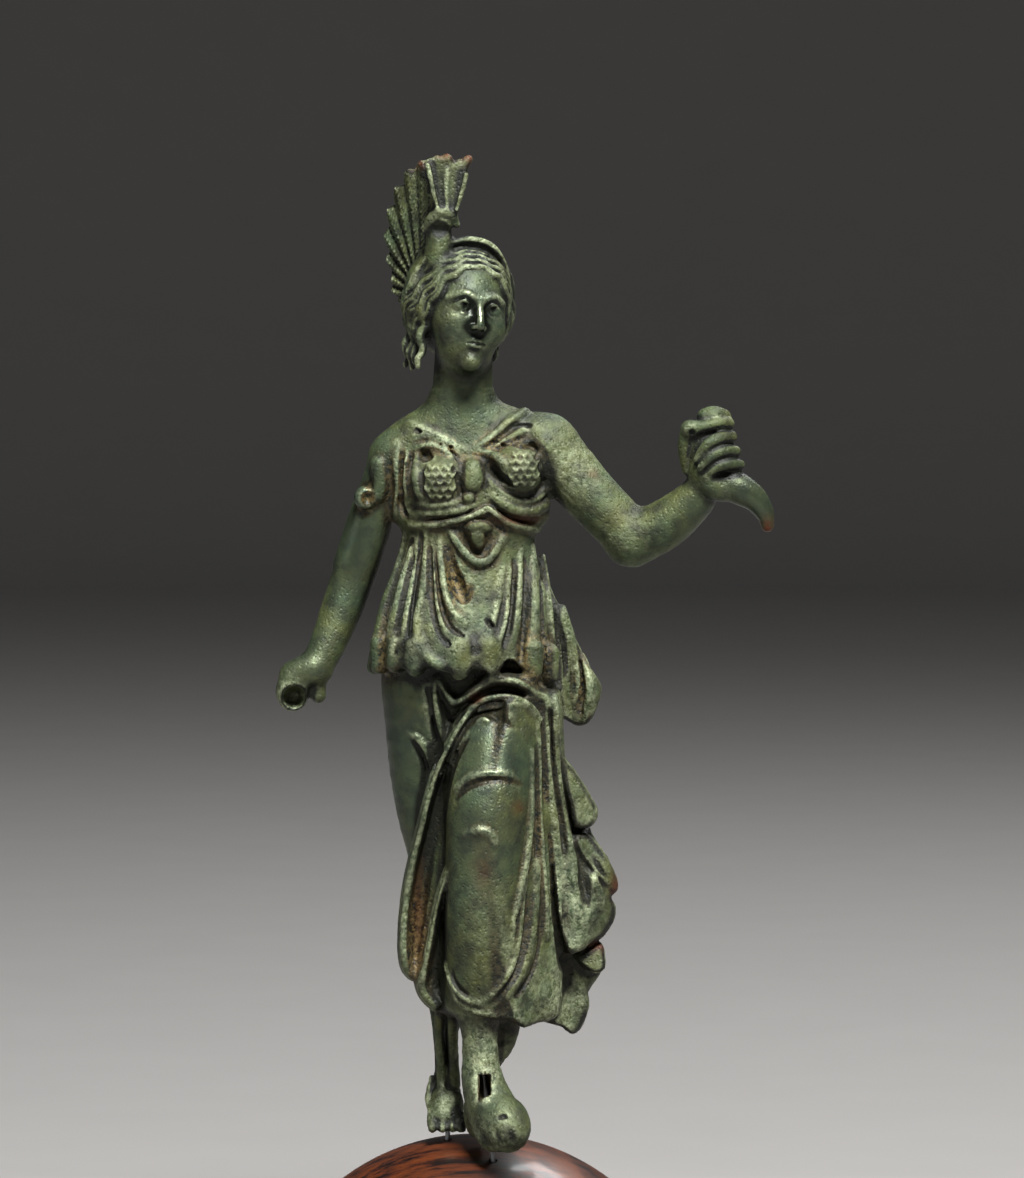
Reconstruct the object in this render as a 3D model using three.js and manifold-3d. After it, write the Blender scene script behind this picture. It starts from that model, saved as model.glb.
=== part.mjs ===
// A small bronze figure of a striding, helmeted goddess, cast in one piece, on a turned wooden ball.
// Millimetres, +Z up. The figure faces -Y, and the origin is the middle of the ball's flat underside.

import * as THREE from 'three';
import { mergeVertices } from 'three/addons/utils/BufferGeometryUtils.js';
import Module from 'manifold-3d';

const wasm = await Module();
wasm.setup();

// Driving dimensions
const figureHeight = 170; // foot of the front pin to the tip of the crest
const ballRadius = 38.5; // the turned wooden ball under the figure
const baseHeight = 32; // flat underside to the top of the ball
const baseChamfer = 1.2; // on the edge of the underside
const pinDiameter = 0.9; // steel pins that hold the figure up
const pinClearance = 0.3; // round and beyond each pin, in the bronze and in the wood
const frontPinInWood = 12;
const frontPinInFoot = 15;
const rearPinInWood = 9;
const rearPinInFoot = 8;
const slotWidth = 1.9; // opening in the front ankle that bares the pin
const slotHeight = 4.4;
const slotDepth = 5;

// Fineness of the facets
const coarseStep = 0.9; // spacing of the sampled field on broad drapery
const fineStep = 0.6; // and on the head, the crest and the raised fist
const figureTriangles = 8000;
const ballSegments = 44;
const ballRings = 12;
const pinSides = 10;

// The figure's pose, proportions and carving are in thousandths of its height:
// x to the viewer's right, y to the back, z up from the foot of the front pin.
const share = figureHeight / 1000;

// Distance fields. Each form gives a signed distance at a point, the box that it acts in,
// whether it adds or cuts, and how softly it blends with what is there.

const farAway = 1e3;

const catmullRom = (a, b, c, d, t) => 0.5 * (2 * b + (c - a) * t
  + (2 * a - 5 * b + 4 * c - d) * t * t + (3 * b - a - 3 * c + d) * t * t * t);

function smoothLine(points, steps) {
  const line = [];
  for (let i = 0; i < points.length - 1; i++) {
    const around = [-1, 0, 1, 2].map((k) => points[THREE.MathUtils.clamp(i + k, 0, points.length - 1)]);
    for (let s = 0; s < steps; s++) {
      line.push(points[i].map((_, axis) => catmullRom(...around.map((p) => p[axis]), s / steps)));
    }
  }
  line.push(points.at(-1));
  return line;
}

function boxOf(points) {
  const low = [0, 1, 2].map((axis) => Math.min(...points.map((p) => p[axis] - p[3])));
  const high = [0, 1, 2].map((axis) => Math.max(...points.map((p) => p[axis] + p[3])));
  return { low, high };
}

// A rounded limb, lock or fold along [x, y, z, radius] points
function chain(points, { blend = 8, steps = 4, cut = false } = {}) {
  const line = points.length > 2 ? smoothLine(points, steps) : points;
  const parts = line.slice(1).map((b, i) => {
    const a = line[i];
    const d = [b[0] - a[0], b[1] - a[1], b[2] - a[2]];
    return { a, d, r: a[3], dr: b[3] - a[3], inverse: 1 / (d[0] ** 2 + d[1] ** 2 + d[2] ** 2 + 1e-9) };
  });
  const distance = (x, y, z) => {
    let best = 1e9;
    for (const { a, d, r, dr, inverse } of parts) {
      const px = x - a[0];
      const py = y - a[1];
      const pz = z - a[2];
      let t = (px * d[0] + py * d[1] + pz * d[2]) * inverse;
      t = t < 0 ? 0 : t > 1 ? 1 : t;
      const qx = px - t * d[0];
      const qy = py - t * d[1];
      const qz = pz - t * d[2];
      const value = Math.sqrt(qx * qx + qy * qy + qz * qz) - r - t * dr;
      if (value < best) best = value;
    }
    return best;
  };
  return { distance, ...boxOf(line), blend, cut };
}

// An egg shape with half sizes along its own axes
function egg(center, half, { blend = 8, cut = false } = {}) {
  const distance = (x, y, z) => {
    const ax = (x - center[0]) / half[0];
    const ay = (y - center[1]) / half[1];
    const az = (z - center[2]) / half[2];
    const k0 = Math.sqrt(ax * ax + ay * ay + az * az);
    const k1 = Math.sqrt((ax / half[0]) ** 2 + (ay / half[1]) ** 2 + (az / half[2]) ** 2);
    return k1 < 1e-9 ? -Math.min(...half) : k0 * (k0 - 1) / k1;
  };
  const low = center.map((c, axis) => c - half[axis]);
  const high = center.map((c, axis) => c + half[axis]);
  return { distance, low, high, blend, cut };
}

// A draped body from [z, middle x, middle y, half width, half depth] sections, with folds
// that stand out from the oval by folds(angle, z)
function loft(sections, { blend = 10, round = 6, folds = null, reach = 0 } = {}) {
  const rising = sections[0][0] < sections[1][0] ? sections : [...sections].reverse();
  const bottom = rising[0][0];
  const top = rising.at(-1)[0];
  const table = [];
  for (let z = Math.floor(bottom); z <= top + 1; z++) {
    let i = 0;
    while (i < rising.length - 2 && rising[i + 1][0] < z) i++;
    const t = THREE.MathUtils.clamp((z - rising[i][0]) / (rising[i + 1][0] - rising[i][0]), 0, 1);
    const around = [-1, 0, 1, 2].map((k) => rising[THREE.MathUtils.clamp(i + k, 0, rising.length - 1)]);
    table.push([1, 2, 3, 4].map((axis) => catmullRom(...around.map((p) => p[axis]), t)));
  }
  const distance = (x, y, z) => {
    const place = THREE.MathUtils.clamp(z, bottom, top) - Math.floor(bottom);
    const row = Math.floor(place);
    const t = place - row;
    const s0 = table[row];
    const s1 = table[Math.min(row + 1, table.length - 1)];
    const halfX = s0[2] + t * (s1[2] - s0[2]);
    const halfY = s0[3] + t * (s1[3] - s0[3]);
    const dx = (x - s0[0] - t * (s1[0] - s0[0])) / halfX;
    const dy = (y - s0[1] - t * (s1[1] - s0[1])) / halfY;
    const k0 = Math.sqrt(dx * dx + dy * dy);
    const k1 = Math.sqrt((dx / halfX) ** 2 + (dy / halfY) ** 2);
    let side = k1 < 1e-9 ? -Math.min(halfX, halfY) : k0 * (k0 - 1) / k1;
    if (folds) side -= folds(Math.atan2(dx, -dy), z);
    return softMax(side, Math.max(z - top, bottom - z), round);
  };
  const wide = Math.max(...sections.map((s) => Math.max(s[3], s[4]))) + reach;
  const xs = sections.map((s) => s[1]);
  const ys = sections.map((s) => s[2]);
  const low = [Math.min(...xs) - wide, Math.min(...ys) - wide, bottom];
  const high = [Math.max(...xs) + wide, Math.max(...ys) + wide, top];
  return { distance, low, high, blend, cut: false };
}

// A hanging sheet with an [x, z] outline, a middle surface y = middle(x, z) and a half thickness
function sheet(outline, middle, halfThick, { blend = 8, round = 8 } = {}) {
  const line = smoothLine([...outline, outline[0]], 2);
  const edges = line.slice(1).map((b, i) => [line[i], b]);
  const distance = (x, y, z) => {
    let nearest = 1e9;
    let inside = -1;
    for (const [[ax, az], [bx, bz]] of edges) {
      const ex = bx - ax;
      const ez = bz - az;
      const wx = x - ax;
      const wz = z - az;
      let t = (wx * ex + wz * ez) / (ex * ex + ez * ez);
      t = t < 0 ? 0 : t > 1 ? 1 : t;
      nearest = Math.min(nearest, (wx - t * ex) ** 2 + (wz - t * ez) ** 2);
      if ((az > z) !== (bz > z) && x < ax + ex * (z - az) / ez) inside = -inside;
    }
    const across = -inside * Math.sqrt(nearest);
    return softMax(across, Math.abs(y - middle(x, z)) - halfThick(x, z), round);
  };
  const xs = line.map((p) => p[0]);
  const zs = line.map((p) => p[1]);
  const ys = line.map(([x, z]) => [middle(x, z) - halfThick(x, z), middle(x, z) + halfThick(x, z)]).flat();
  const low = [Math.min(...xs), Math.min(...ys) - 8, Math.min(...zs)];
  const high = [Math.max(...xs), Math.max(...ys) + 8, Math.max(...zs)];
  return { distance, low, high, blend, cut: false };
}

function softMin(a, b, k) {
  const h = Math.max(k - Math.abs(a - b), 0) / k;
  return Math.min(a, b) - h * h * k / 4;
}

function softMax(a, b, k) {
  return -softMin(-a, -b, k);
}

function fieldOf(forms) {
  return (x, y, z) => {
    let d = farAway;
    for (const form of forms) {
      const value = form.distance(x, y, z);
      d = form.cut ? softMax(d, -value, form.blend) : softMin(d, value, form.blend);
    }
    return d;
  };
}

// Forms written in a turned frame of their own, such as the head's
function placed(forms, origin, yaw, roll, pitch) {
  const turn = new THREE.Matrix4().makeRotationFromEuler(new THREE.Euler(
    THREE.MathUtils.degToRad(pitch), THREE.MathUtils.degToRad(roll), THREE.MathUtils.degToRad(yaw), 'ZYX'));
  const e = turn.elements;
  return forms.map((form) => {
    const distance = (x, y, z) => {
      const px = x - origin[0];
      const py = y - origin[1];
      const pz = z - origin[2];
      return form.distance(e[0] * px + e[1] * py + e[2] * pz,
        e[4] * px + e[5] * py + e[6] * pz, e[8] * px + e[9] * py + e[10] * pz);
    };
    const box = new THREE.Box3(new THREE.Vector3(...form.low), new THREE.Vector3(...form.high));
    box.applyMatrix4(turn).translate(new THREE.Vector3(...origin));
    return { ...form, distance, low: box.min.toArray(), high: box.max.toArray() };
  });
}

// A standing wall of cloth, or a deep channel: one line again and again, further back each time
function stack(points, copies, back, grow, options) {
  return Array.from({ length: copies }, (_, i) =>
    chain(points.map(([x, y, z, r]) => [x, y + i * back, z, r + i * grow]), options));
}

// Keeps the part of a form that is behind a plane
function clipped(form, point, normal, blend = 3) {
  const length = Math.hypot(...normal);
  const distance = (x, y, z) => softMax(form.distance(x, y, z), ((x - point[0]) * normal[0]
    + (y - point[1]) * normal[1] + (z - point[2]) * normal[2]) / length, blend);
  return { ...form, distance };
}

// Evenly spread lines from one line to another
function between(first, last, count) {
  return Array.from({ length: count }, (_, i) => first.map((point, k) =>
    point.map((value, axis) => THREE.MathUtils.lerp(value, last[k][axis], i / (count - 1)))));
}

// Strokes of [x, z, radius] points, laid on the front of the body and sunk by some part of their radius
const ridge = (points, { blend = 4, sink = 0.1 } = {}) => ({ points, blend, sink, cut: false });
const groove = (points, { blend = 3, sink = 0 } = {}) => ({ points, blend, sink, cut: true });

function lay(field, { points, blend, sink, cut }) {
  const line = smoothLine(points, 4);
  const [before, behind] = [-170, 120]; // clear of the body
  const endShare = 0.25; // of its length, over which an end runs out of the surface
  const endDive = 0.8; // by this part of its radius
  let lastY = 0;
  const laid = line.map(([x, z, r], i) => {
    let y = before;
    let d = field(x, y, z);
    while (d > 0.6 && y < behind) {
      y += Math.max(d * 0.7, 0.5);
      d = field(x, y, z);
    }
    if (y < behind) lastY = y;
    const along = i / (line.length - 1);
    const dive = endDive * (Math.max(1 - along / endShare, 0) + Math.max(1 - (1 - along) / endShare, 0));
    return [x, lastY + r * (sink + (cut ? -dive : dive)), z, r];
  });
  return chain(laid, { blend, steps: 1, cut });
}

// Body and dress, from the neck to the hem

// Folds deepen towards the hem, and only at the back, where the angle from the front is large
function backFolds(count, depth, top, bottom, phase) {
  return (angle, z) => {
    const down = THREE.MathUtils.clamp((top - z) / (top - bottom), 0, 1);
    const back = THREE.MathUtils.smoothstep(Math.abs(angle), 1.3, 1.9);
    return back * depth * (0.25 + 0.75 * down) * Math.cos(count * angle + phase + 0.9 * down);
  };
}

const chestSections = [
  [757, -14, 12, 24, 22], [745, -14, 11, 44, 25], [732, -12, 8, 64, 29], [712, -8, 5, 76, 35],
  [690, -5, 2, 79, 40], [665, -4, 0, 78, 42], [640, -4, 0, 78, 41], [624, -6, 1, 66, 37],
  [600, -7, 1, 62, 36],
];
const overfoldSections = [
  [640, -5, 0, 68, 40], [615, -6, 0, 65, 40], [590, -8, 0, 71, 44], [560, -9, -1, 81, 51],
  [525, -12, -2, 88, 60], [494, -13, -3, 90, 66],
];
const skirtSections = [
  [510, -6, 2, 80, 46], [470, -6, 4, 86, 48], [430, -5, 9, 80, 49], [390, -2, 14, 73, 49],
  [340, 1, 20, 64, 48], [300, 3, 26, 58, 46], [250, 5, 30, 57, 46], [200, 8, 34, 58, 46],
  [160, 10, 37, 57, 44], [126, 12, 38, 53, 40],
];
const frontSkirtSections = [
  [446, 26, -22, 44, 42], [420, 20, -32, 45, 48], [380, 15, -42, 44, 51], [330, 11, -46, 40, 56],
  [280, 8, -44, 38, 56], [220, 7, -40, 38, 53], [180, 8, -38, 40, 49], [158, 10, -36, 43, 47],
  [141, 12, -34, 42, 44],
];
const body = [
  loft(chestSections, { blend: 8, round: 8, folds: backFolds(13, 2.6, 750, 640, 0), reach: 3 }),
  chain([[-5, 10, 746, 20], [42, 8, 722, 28], [72, 6, 713, 31]], { blend: 14 }),
  chain([[-28, 10, 744, 20], [-60, 9, 717, 27], [-79, 9, 701, 27]], { blend: 14 }),
  egg([-36, -28, 679], [27, 24, 27], { blend: 9 }),
  egg([42, -28, 690], [26, 24, 26], { blend: 9 }),
  chain([[-15, 14, 730, 36], [-13, 9, 762, 31], [-12, 4, 800, 29]], { blend: 16 }),
];
const overfold = loft(overfoldSections,
  { blend: 6, round: 7, folds: backFolds(12, 5, 620, 500, 0.6), reach: 6 });
const skirt = loft(skirtSections,
  { blend: 6, round: 9, folds: backFolds(10, 8, 480, 150, 0.2), reach: 9 });
const frontSkirt = loft(frontSkirtSections, { blend: 10, round: 12 });
const backLeg = chain([[-47, 2, 478, 47], [-52, 6, 400, 36.5], [-49, 12, 345, 31], [-40, 22, 290, 27],
  [-36, 34, 200, 20], [-31, 18, 130, 14], [-30, 10, 100, 12], [-29, 8, 80, 12]], { blend: 10 });
const frontLeg = chain([[26, -18, 428, 41], [19, -44, 400, 41], [12, -66, 350, 37], [9, -68, 310, 34.5],
  [7, -62, 240, 34], [6, -58, 185, 28], [4, -56, 138, 18]], { blend: 10 });

// Windblown cloth beside the legs, and the end of the mantle behind
const flareOutline = [
  [60, 470], [84, 465], [88, 430], [88, 400], [98, 380], [110, 352], [114, 330], [122, 312], [134, 295],
  [142, 276], [143, 262], [137, 255], [141, 246], [138, 232], [120, 214], [112, 204], [124, 196],
  [131, 184], [124, 172], [114, 158], [116, 149], [113, 135], [106, 119], [96, 116], [88, 124],
  [70, 130], [62, 133], [40, 134], [30, 200], [30, 300], [40, 400],
];
const upperLobeOutline = [
  [86, 399], [92, 397], [105, 379], [118, 357], [124, 346], [121, 334], [112, 328], [99, 331],
  [95, 350], [88, 372],
];
const middleLobeOutline = [
  [88, 330], [101, 322], [112, 322], [122, 313], [135, 294], [143, 276], [144, 263], [137, 256],
  [142, 247], [140, 232], [130, 217], [116, 206], [99, 201], [87, 205], [84, 240], [83, 290],
];
const lowLobeOutline = [
  [99, 199], [112, 203], [127, 211], [131, 197], [131, 185], [122, 179], [108, 186],
];
const leftSheetOutline = [
  [-14, 425], [-30, 405], [-40, 375], [-50, 340], [-58, 310], [-66, 288], [-70, 260], [-73, 230],
  [-74, 210], [-72, 193], [-67, 178], [-58, 174], [-53, 160], [-44, 150], [-32, 142], [-10, 146],
  [0, 200], [5, 300], [5, 400],
];
const mantleOutline = [
  [50, 610], [63, 600], [80, 560], [92, 540], [100, 520], [115, 490], [125, 475], [128, 463],
  [122, 445], [115, 432], [105, 428], [97, 431], [87, 440], [60, 470], [45, 540],
];
const sideOutline = [
  [30, 460], [60, 468], [82, 462], [88, 430], [88, 398], [92, 360], [96, 320], [94, 270], [92, 220],
  [88, 180], [84, 140], [60, 134], [40, 136], [30, 200], [28, 330],
];
const leftSheet = sheet(leftSheetOutline, (x) => -22 - 0.35 * (x + 40), () => 13, { blend: 8, round: 8 });
const cloth = [
  sheet(sideOutline, (x, z) => -58 + 0.9 * (x - 45) + 0.05 * Math.max(z - 330, 0), () => 14,
    { blend: 12, round: 12 }),
  sheet(flareOutline, (x, z) => -12 + 0.42 * (x - 40) + 4 * Math.sin((x + 0.25 * z) / 6.5),
    (x) => 19 - 0.1 * (x - 30), { blend: 8, round: 10 }),
  sheet(upperLobeOutline, (x) => -18 + 0.34 * (x - 90), () => 15, { blend: 4, round: 9 }),
  sheet(middleLobeOutline, (x, z) => -16 + 0.36 * (x - 90) - 3 * Math.sin((x - 0.35 * (z - 200)) / 7),
    (x) => 16 - 0.08 * (x - 90), { blend: 4, round: 11 }),
  sheet(lowLobeOutline, () => 2, () => 13, { blend: 3, round: 6 }),
  leftSheet,
  sheet(mantleOutline, (x) => 14 + 0.18 * (x - 60) + 4 * Math.sin(x / 5), () => 10,
    { blend: 6, round: 8 }),
];

// Edges of cloth that stand free, with deep channels beside them
const hemRim = stack([[-37, -44, 482, 2.5], [-29, -47, 468, 3], [-22, -50, 458, 3.5], [-13, -52, 460, 3.5],
    [-3, -56, 467, 3.5], [8, -58, 475, 4], [20, -59, 480, 4], [34, -59, 480, 4], [47, -57, 476, 4],
    [59, -50, 468, 4], [71, -44, 458, 4], [79, -38, 442, 4], [82, -34, 418, 3.5],
    [84, -30, 396, 3]], 3, 7, 1.5, { blend: 5 });
const hemEnds = [[-97, -26, 492, 9], [-80, -42, 494, 8], [-60, -54, 491, 9], [-14, -62, 490, 12],
  [14, -60, 492, 11], [58, -44, 488, 11], [76, -22, 483, 9]]
  .map(([x, y, z, r]) => chain([[x, y, z + 22, r], [x, y, z, 0.85 * r]], { blend: 10 }));
const edges = [
  ...hemRim,
  ...hemEnds,
  chain([[-3, -60, 452, 3], [10, -63, 461, 3.5], [26, -64, 464, 3.5], [42, -63, 462, 3.5],
    [56, -58, 454, 3.5], [66, -50, 440, 3]], { blend: 4 }),
  ...stack([[-2, -60, 452, 3], [-14, -62, 436, 3], [-25, -61, 415, 3], [-36, -58, 392, 3],
    [-46, -54, 362, 3], [-54, -50, 330, 3], [-61, -47, 303, 3], [-66, -44, 278, 3.5],
    [-70, -41, 250, 3.5], [-72, -38, 215, 4], [-69, -34, 190, 5], [-62, -32, 181, 5]], 3, 8, 1.5,
    { blend: 4 }),
  ...stack([[-27, -74, 288, 2.5], [-34, -68, 266, 2.5], [-40, -61, 240, 2.8], [-45, -56, 212, 3],
    [-50, -51, 190, 3.5], [-54, -46, 173, 4.5], [-49, -44, 161, 5], [-40, -43, 152, 5]], 3, 8, 1.6,
    { blend: 4 }),
];
const channels = [
  ...stack([[-8, -72, 424, 2.5], [-22, -70, 398, 5], [-33, -66, 366, 8], [-41, -60, 330, 8.5],
    [-49, -54, 290, 8], [-55, -48, 250, 8], [-59, -44, 215, 7], [-60, -42, 198, 6]], 3, 9, -1.2,
    { blend: 3, cut: true }),
  ...stack([[-31, -76, 268, 2], [-35, -68, 240, 3.5], [-38, -60, 212, 5], [-41, -54, 186, 6],
    [-38, -50, 168, 5]], 3, 8, -0.8, { blend: 3, cut: true }),
  ...stack([[-31, -60, 478, 4], [-21, -60, 471, 6], [-6, -62, 480, 5], [10, -64, 488, 4]], 2, 8, -1,
    { blend: 3, cut: true }),
  ...stack([[-36, -56, 462, 3], [-30, -56, 446, 5], [-22, -56, 440, 6], [-14, -58, 449, 3]], 3, 8, -1,
    { blend: 3, cut: true }),
  ...stack([[-47, -52, 470, 2.5], [-42, -52, 440, 3.5], [-36, -52, 412, 4.5],
    [-36, -48, 388, 4]], 3, 8, -0.6, { blend: 3, cut: true }),
  ...stack([[75, -44, 322, 2], [77, -42, 296, 3], [79, -40, 260, 4], [83, -36, 222, 5], [90, -30, 194, 8],
    [104, -22, 184, 7], [118, -16, 176, 5]], 3, 7, -0.7, { blend: 3, cut: true }),
  ...stack([[100, -20, 203, 2.5], [112, -16, 206, 3], [126, -12, 212, 4]], 2, 7, 0,
    { blend: 2, cut: true }),
];

// Arms, the broken right hand, and the left fist on its curved remnant
const arms = [
  chain([[-79, 9, 701, 27], [-92, 10, 672, 24], [-107, 12, 635, 22.8], [-121, 13, 591, 23.2]],
    { blend: 8 }),
  chain([[-107, 13, 625, 20], [-125, 13.5, 575, 22], [-138, 7, 540, 20.3], [-150, -2, 510, 18],
    [-160, -8, 492, 17]], { blend: 2 }),
  egg([-172, -10, 484], [25, 17, 16], { blend: 10 }),
  egg([-184, -14, 466], [17, 16, 20], { blend: 8 }),
  chain([[-160, -8, 480, 9], [-159, -11, 462, 8.5]], { blend: 4 }),
  egg([-182, -30, 460], [12.5, 24, 13], { blend: 2, cut: true }),
  egg([-166, -26, 452], [5, 20, 9], { blend: 2, cut: true }),
  chain([[-97, -12, 694, 9], [-95, -12, 678, 9], [-98, -12, 664, 8]], { blend: 4 }),
  egg([-110, -10, 661], [12, 11, 12.5], { blend: 4 }),
  egg([-108, -22, 661], [6, 7, 7.5], { blend: 2, cut: true }),
  chain([[70, 6, 711, 32], [88, 4, 694, 30.5], [116, 0, 663, 28], [157, -5, 622, 26.5]], { blend: 10 }),
  chain([[158, -5, 618, 27], [190, -14, 634, 25], [215, -21, 654, 21.5], [230, -25, 672, 18]],
    { blend: 8 }),
  chain([[233, -30, 690, 20], [236, -26, 712, 24]], { blend: 8 }),
  chain([[213, -28, 690, 6], [211, -32, 712, 8], [216, -32, 729, 11]], { blend: 4 }),
  chain([[222, -50, 701, 4], [232, -54, 715, 6], [244, -50, 722, 6.5], [256, -36, 723, 6.5]],
    { blend: 2.5 }),
  chain([[226, -52, 693, 4], [236, -54, 704, 6], [248, -50, 709, 6.5], [260, -36, 708, 6.5]],
    { blend: 2.5 }),
  chain([[232, -50, 686, 4], [242, -52, 694, 5.5], [253, -48, 696, 6.5], [264, -36, 695, 6]],
    { blend: 2.5 }),
  chain([[216, -40, 731, 9], [230, -44, 733, 7], [244, -42, 736, 7], [254, -34, 736, 6]], { blend: 3 }),
  chain([[232, -34, 742, 10], [240, -34, 744, 10], [248, -28, 742, 9]], { blend: 3 }),
  chain([[228, -40, 690, 9], [236, -40, 675, 12], [247, -38, 668, 10]], { blend: 5 }),
  chain([[248, -34, 678, 14], [262, -34, 672, 16], [280, -34, 661, 13], [291, -34, 645, 9],
    [293, -34, 634, 6.5]], { blend: 5 }),
];

// Feet: the front one flat on the ball, the rear one up on its toes
const feet = [
  chain([[4, -56, 142, 18], [5, -58, 108, 18], [8, -64, 78, 21], [19, -80, 50, 25], [29, -94, 40, 26],
    [33, -104, 34, 22]], { blend: 8 }),
  egg([5, -48, 44], [17, 20, 27], { blend: 10 }),
  chain([[-6, -64, 84, 5], [-2, -72, 60, 7], [5, -84, 38, 9], [12, -96, 24, 9], [17, -102, 20, 8]],
    { blend: 6 }),
  chain([[10, -113, 51, 1.6], [20, -119, 50.5, 2], [30, -118, 49, 1.6]], { blend: 3, cut: true }),
  chain([[20, -123, 36, 1.6], [26, -124, 24, 2]], { blend: 3, cut: true }),
  chain([[36, -127, 34, 1.6], [41, -124, 24, 2]], { blend: 3, cut: true }),
  chain([[-30, 24, 88, 8], [-31, 14, 66, 13], [-30, -2, 46, 18], [-30, -14, 36, 16]], { blend: 6 }),
  ...[-43, -33, -23, -14].map((x) => chain([[x, -16, 34, 6], [x, -30, 26, 5]], { blend: 3 })),
  chain([[-44, 4, 72, 3], [-48, -4, 52, 3.5], [-43, -18, 36, 3]], { blend: 3 }),
  chain([[-34, -4, 74, 3], [-33, -16, 54, 3.5], [-32, -24, 40, 3]], { blend: 3 }),
  chain([[30, -34, 140, 17], [27, -38, 116, 14], [20, -44, 98, 9]], { blend: 5 }),
  chain([[-35, -24, 150, 6], [-36, -12, 118, 5.5], [-34, -4, 90, 5.5], [-33, -2, 66, 7]], { blend: 2 }),
  chain([[-22, -30, 150, 6.5], [-23, -16, 118, 5.5], [-22, -6, 90, 5.5], [-22, -4, 66, 7]], { blend: 2 }),
];

// Head, hair, helmet and crest, in the head's own frame: face to -y, eyes at height 0
const headOrigin = [-10, -6, 846];
const headTurn = [20, 8, -6]; // yaw to the viewer's right, lean and lift, in degrees

function bothSides(make) {
  return [make(-1), make(1)];
}

const face = [
  egg([0, 8, 14], [40, 47, 48], { blend: 4 }),
  egg([0, -7, -9], [36, 35, 44], { blend: 12 }),
  egg([0, -13, -36], [24, 23, 24], { blend: 12 }),
  egg([0, -32, -53], [9, 8, 8], { blend: 9 }),
  ...bothSides((s) => egg([s * 21, -23, -16], [13, 13, 15], { blend: 10 })),
  ...bothSides((s) => egg([s * 16, -47, 2], [13.5, 12.5, 9.5], { blend: 5, cut: true })),
  ...bothSides((s) => egg([s * 16, -29.5, 0.5], [11.5, 9.5, 8.5], { blend: 1 })),
  ...bothSides((s) => chain([[s * 4, -39.5, 9.5, 3], [s * 15, -38.5, 14.5, 3.2],
    [s * 29, -27, 10.5, 2.6]], { blend: 5 })),
  chain([[0, -39, 11, 3.2], [0, -42.5, -1, 3.3], [0, -47, -12.5, 3.9], [0, -47.6, -17.5, 4.3]], { blend: 4 }),
  ...bothSides((s) => egg([s * 5.2, -42.4, -18.8], [3.3, 5, 3.2], { blend: 2.5 })),
  chain([[-11.5, -34, -33, 1.1], [-4, -38.6, -31, 2.1], [0, -39, -31.7, 2], [4, -38.6, -31, 2.1],
    [11.5, -34, -33, 1.1]], { blend: 1.5 }),
  chain([[-9.5, -34.8, -35.8, 1.3], [0, -38.2, -37, 2.7], [9.5, -34.8, -35.8, 1.3]], { blend: 1.5 }),
  egg([0, -45, -43.5], [8, 5, 3], { blend: 5, cut: true }),
];
const hairMass = [
  egg([0, 24, 8], [54, 42, 49], { blend: 3 }),
  egg([0, 15, 20], [44, 46, 48], { blend: 4 }),
  egg([0, 60, -18], [22, 15, 18], { blend: 6 }),
];
const helmetPlane = { point: [0, 0, 72], normal: [0, -0.95, -0.31] };
const helmet = [
  clipped(egg([1, 24, 24], [57, 50, 52], { blend: 2 }), helmetPlane.point, helmetPlane.normal),
  chain([[-55, 26, 2, 3.2], [-54, 17, 26, 3.4], [-42, 5, 54, 3.6], [-20, -5, 70, 4], [2, -9, 74, 4.2],
    [22, -8, 68, 4], [39, 2, 51, 3.8], [50, 16, 24, 3.6], [50, 28, -6, 3.2]], { blend: 2 }),
  chain([[-52, 26, 6, 5], [-40, 14, 48, 6], [-20, 5, 64, 7], [2, 1, 68, 8], [20, 2, 62, 7], [36, 12, 46, 6],
    [45, 26, 12, 5]], { blend: 3 }),
  chain([[-36, 10, 60, 9], [-22, 8, 70, 8]], { blend: 4 }),
];

// Locks wound round the head along [azimuth, elevation] lines, in degrees from straight ahead
const hairCenter = [0, 10, 6];

function windOn(forms, lines, radius, blend) {
  const field = fieldOf(forms);
  const spotAt = (way, reach) => hairCenter.map((c, axis) => c + way[axis] * reach);
  return lines.map((line, row) => {
    const path = smoothLine(line, 4);
    const lock = path.map(([azimuth, elevation], i) => {
      const [from, to] = [path[Math.max(i - 1, 0)], path[Math.min(i + 1, path.length - 1)]];
      const step = [to[0] - from[0], to[1] - from[1]];
      const wave = 2.6 * Math.sin(1.3 * i + 0.4 * row) * Math.min(i / 4, 1) / Math.hypot(...step);
      const a = THREE.MathUtils.degToRad(azimuth - wave * step[1]);
      const e = THREE.MathUtils.degToRad(elevation + wave * step[0]);
      const way = [Math.sin(a) * Math.cos(e), -Math.cos(a) * Math.cos(e), Math.sin(e)];
      let reach = 110;
      for (let walk = 0; walk < 40; walk++) reach -= Math.max(field(...spotAt(way, reach)), 0) * 0.8;
      const swell = 0.75 + 0.25 * Math.cos((2 * i / (path.length - 1) - 1) * 2.8);
      return [...spotAt(way, reach), radius * swell];
    });
    return chain(lock, { blend, steps: 1 });
  });
}

const hairline = [[2, 45], [24, 40], [44, 27], [60, 6], [76, -12], [98, -26], [130, -28], [160, -22]];
const crown = [[4, 80], [36, 76], [70, 64], [98, 46], [112, 20], [124, 4], [142, -6], [162, -10]];

// Rows of waving locks from the parting back to the helmet, side by side
const lockLines = (side) =>
  between(hairline, crown, 5).map((line) => line.map(([azimuth, elevation]) => [side * azimuth, elevation]));

// Wavy ends of hair beside the neck, one behind the other
function hangingLocks(side, count, x, length) {
  return Array.from({ length: count }, (_, i) => chain(Array.from({ length: 10 }, (_, k) => [
    side * (x + 2 * i + 2.6 * Math.sin(1.7 * k + 1.2 * i) - 0.4 * k), 1 + 8 * i + 1.2 * k,
    4 - length * k / 9 + 3 * (i % 2), 6.6 - 0.4 * k,
  ]), { blend: 1.2 }));
}

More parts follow.
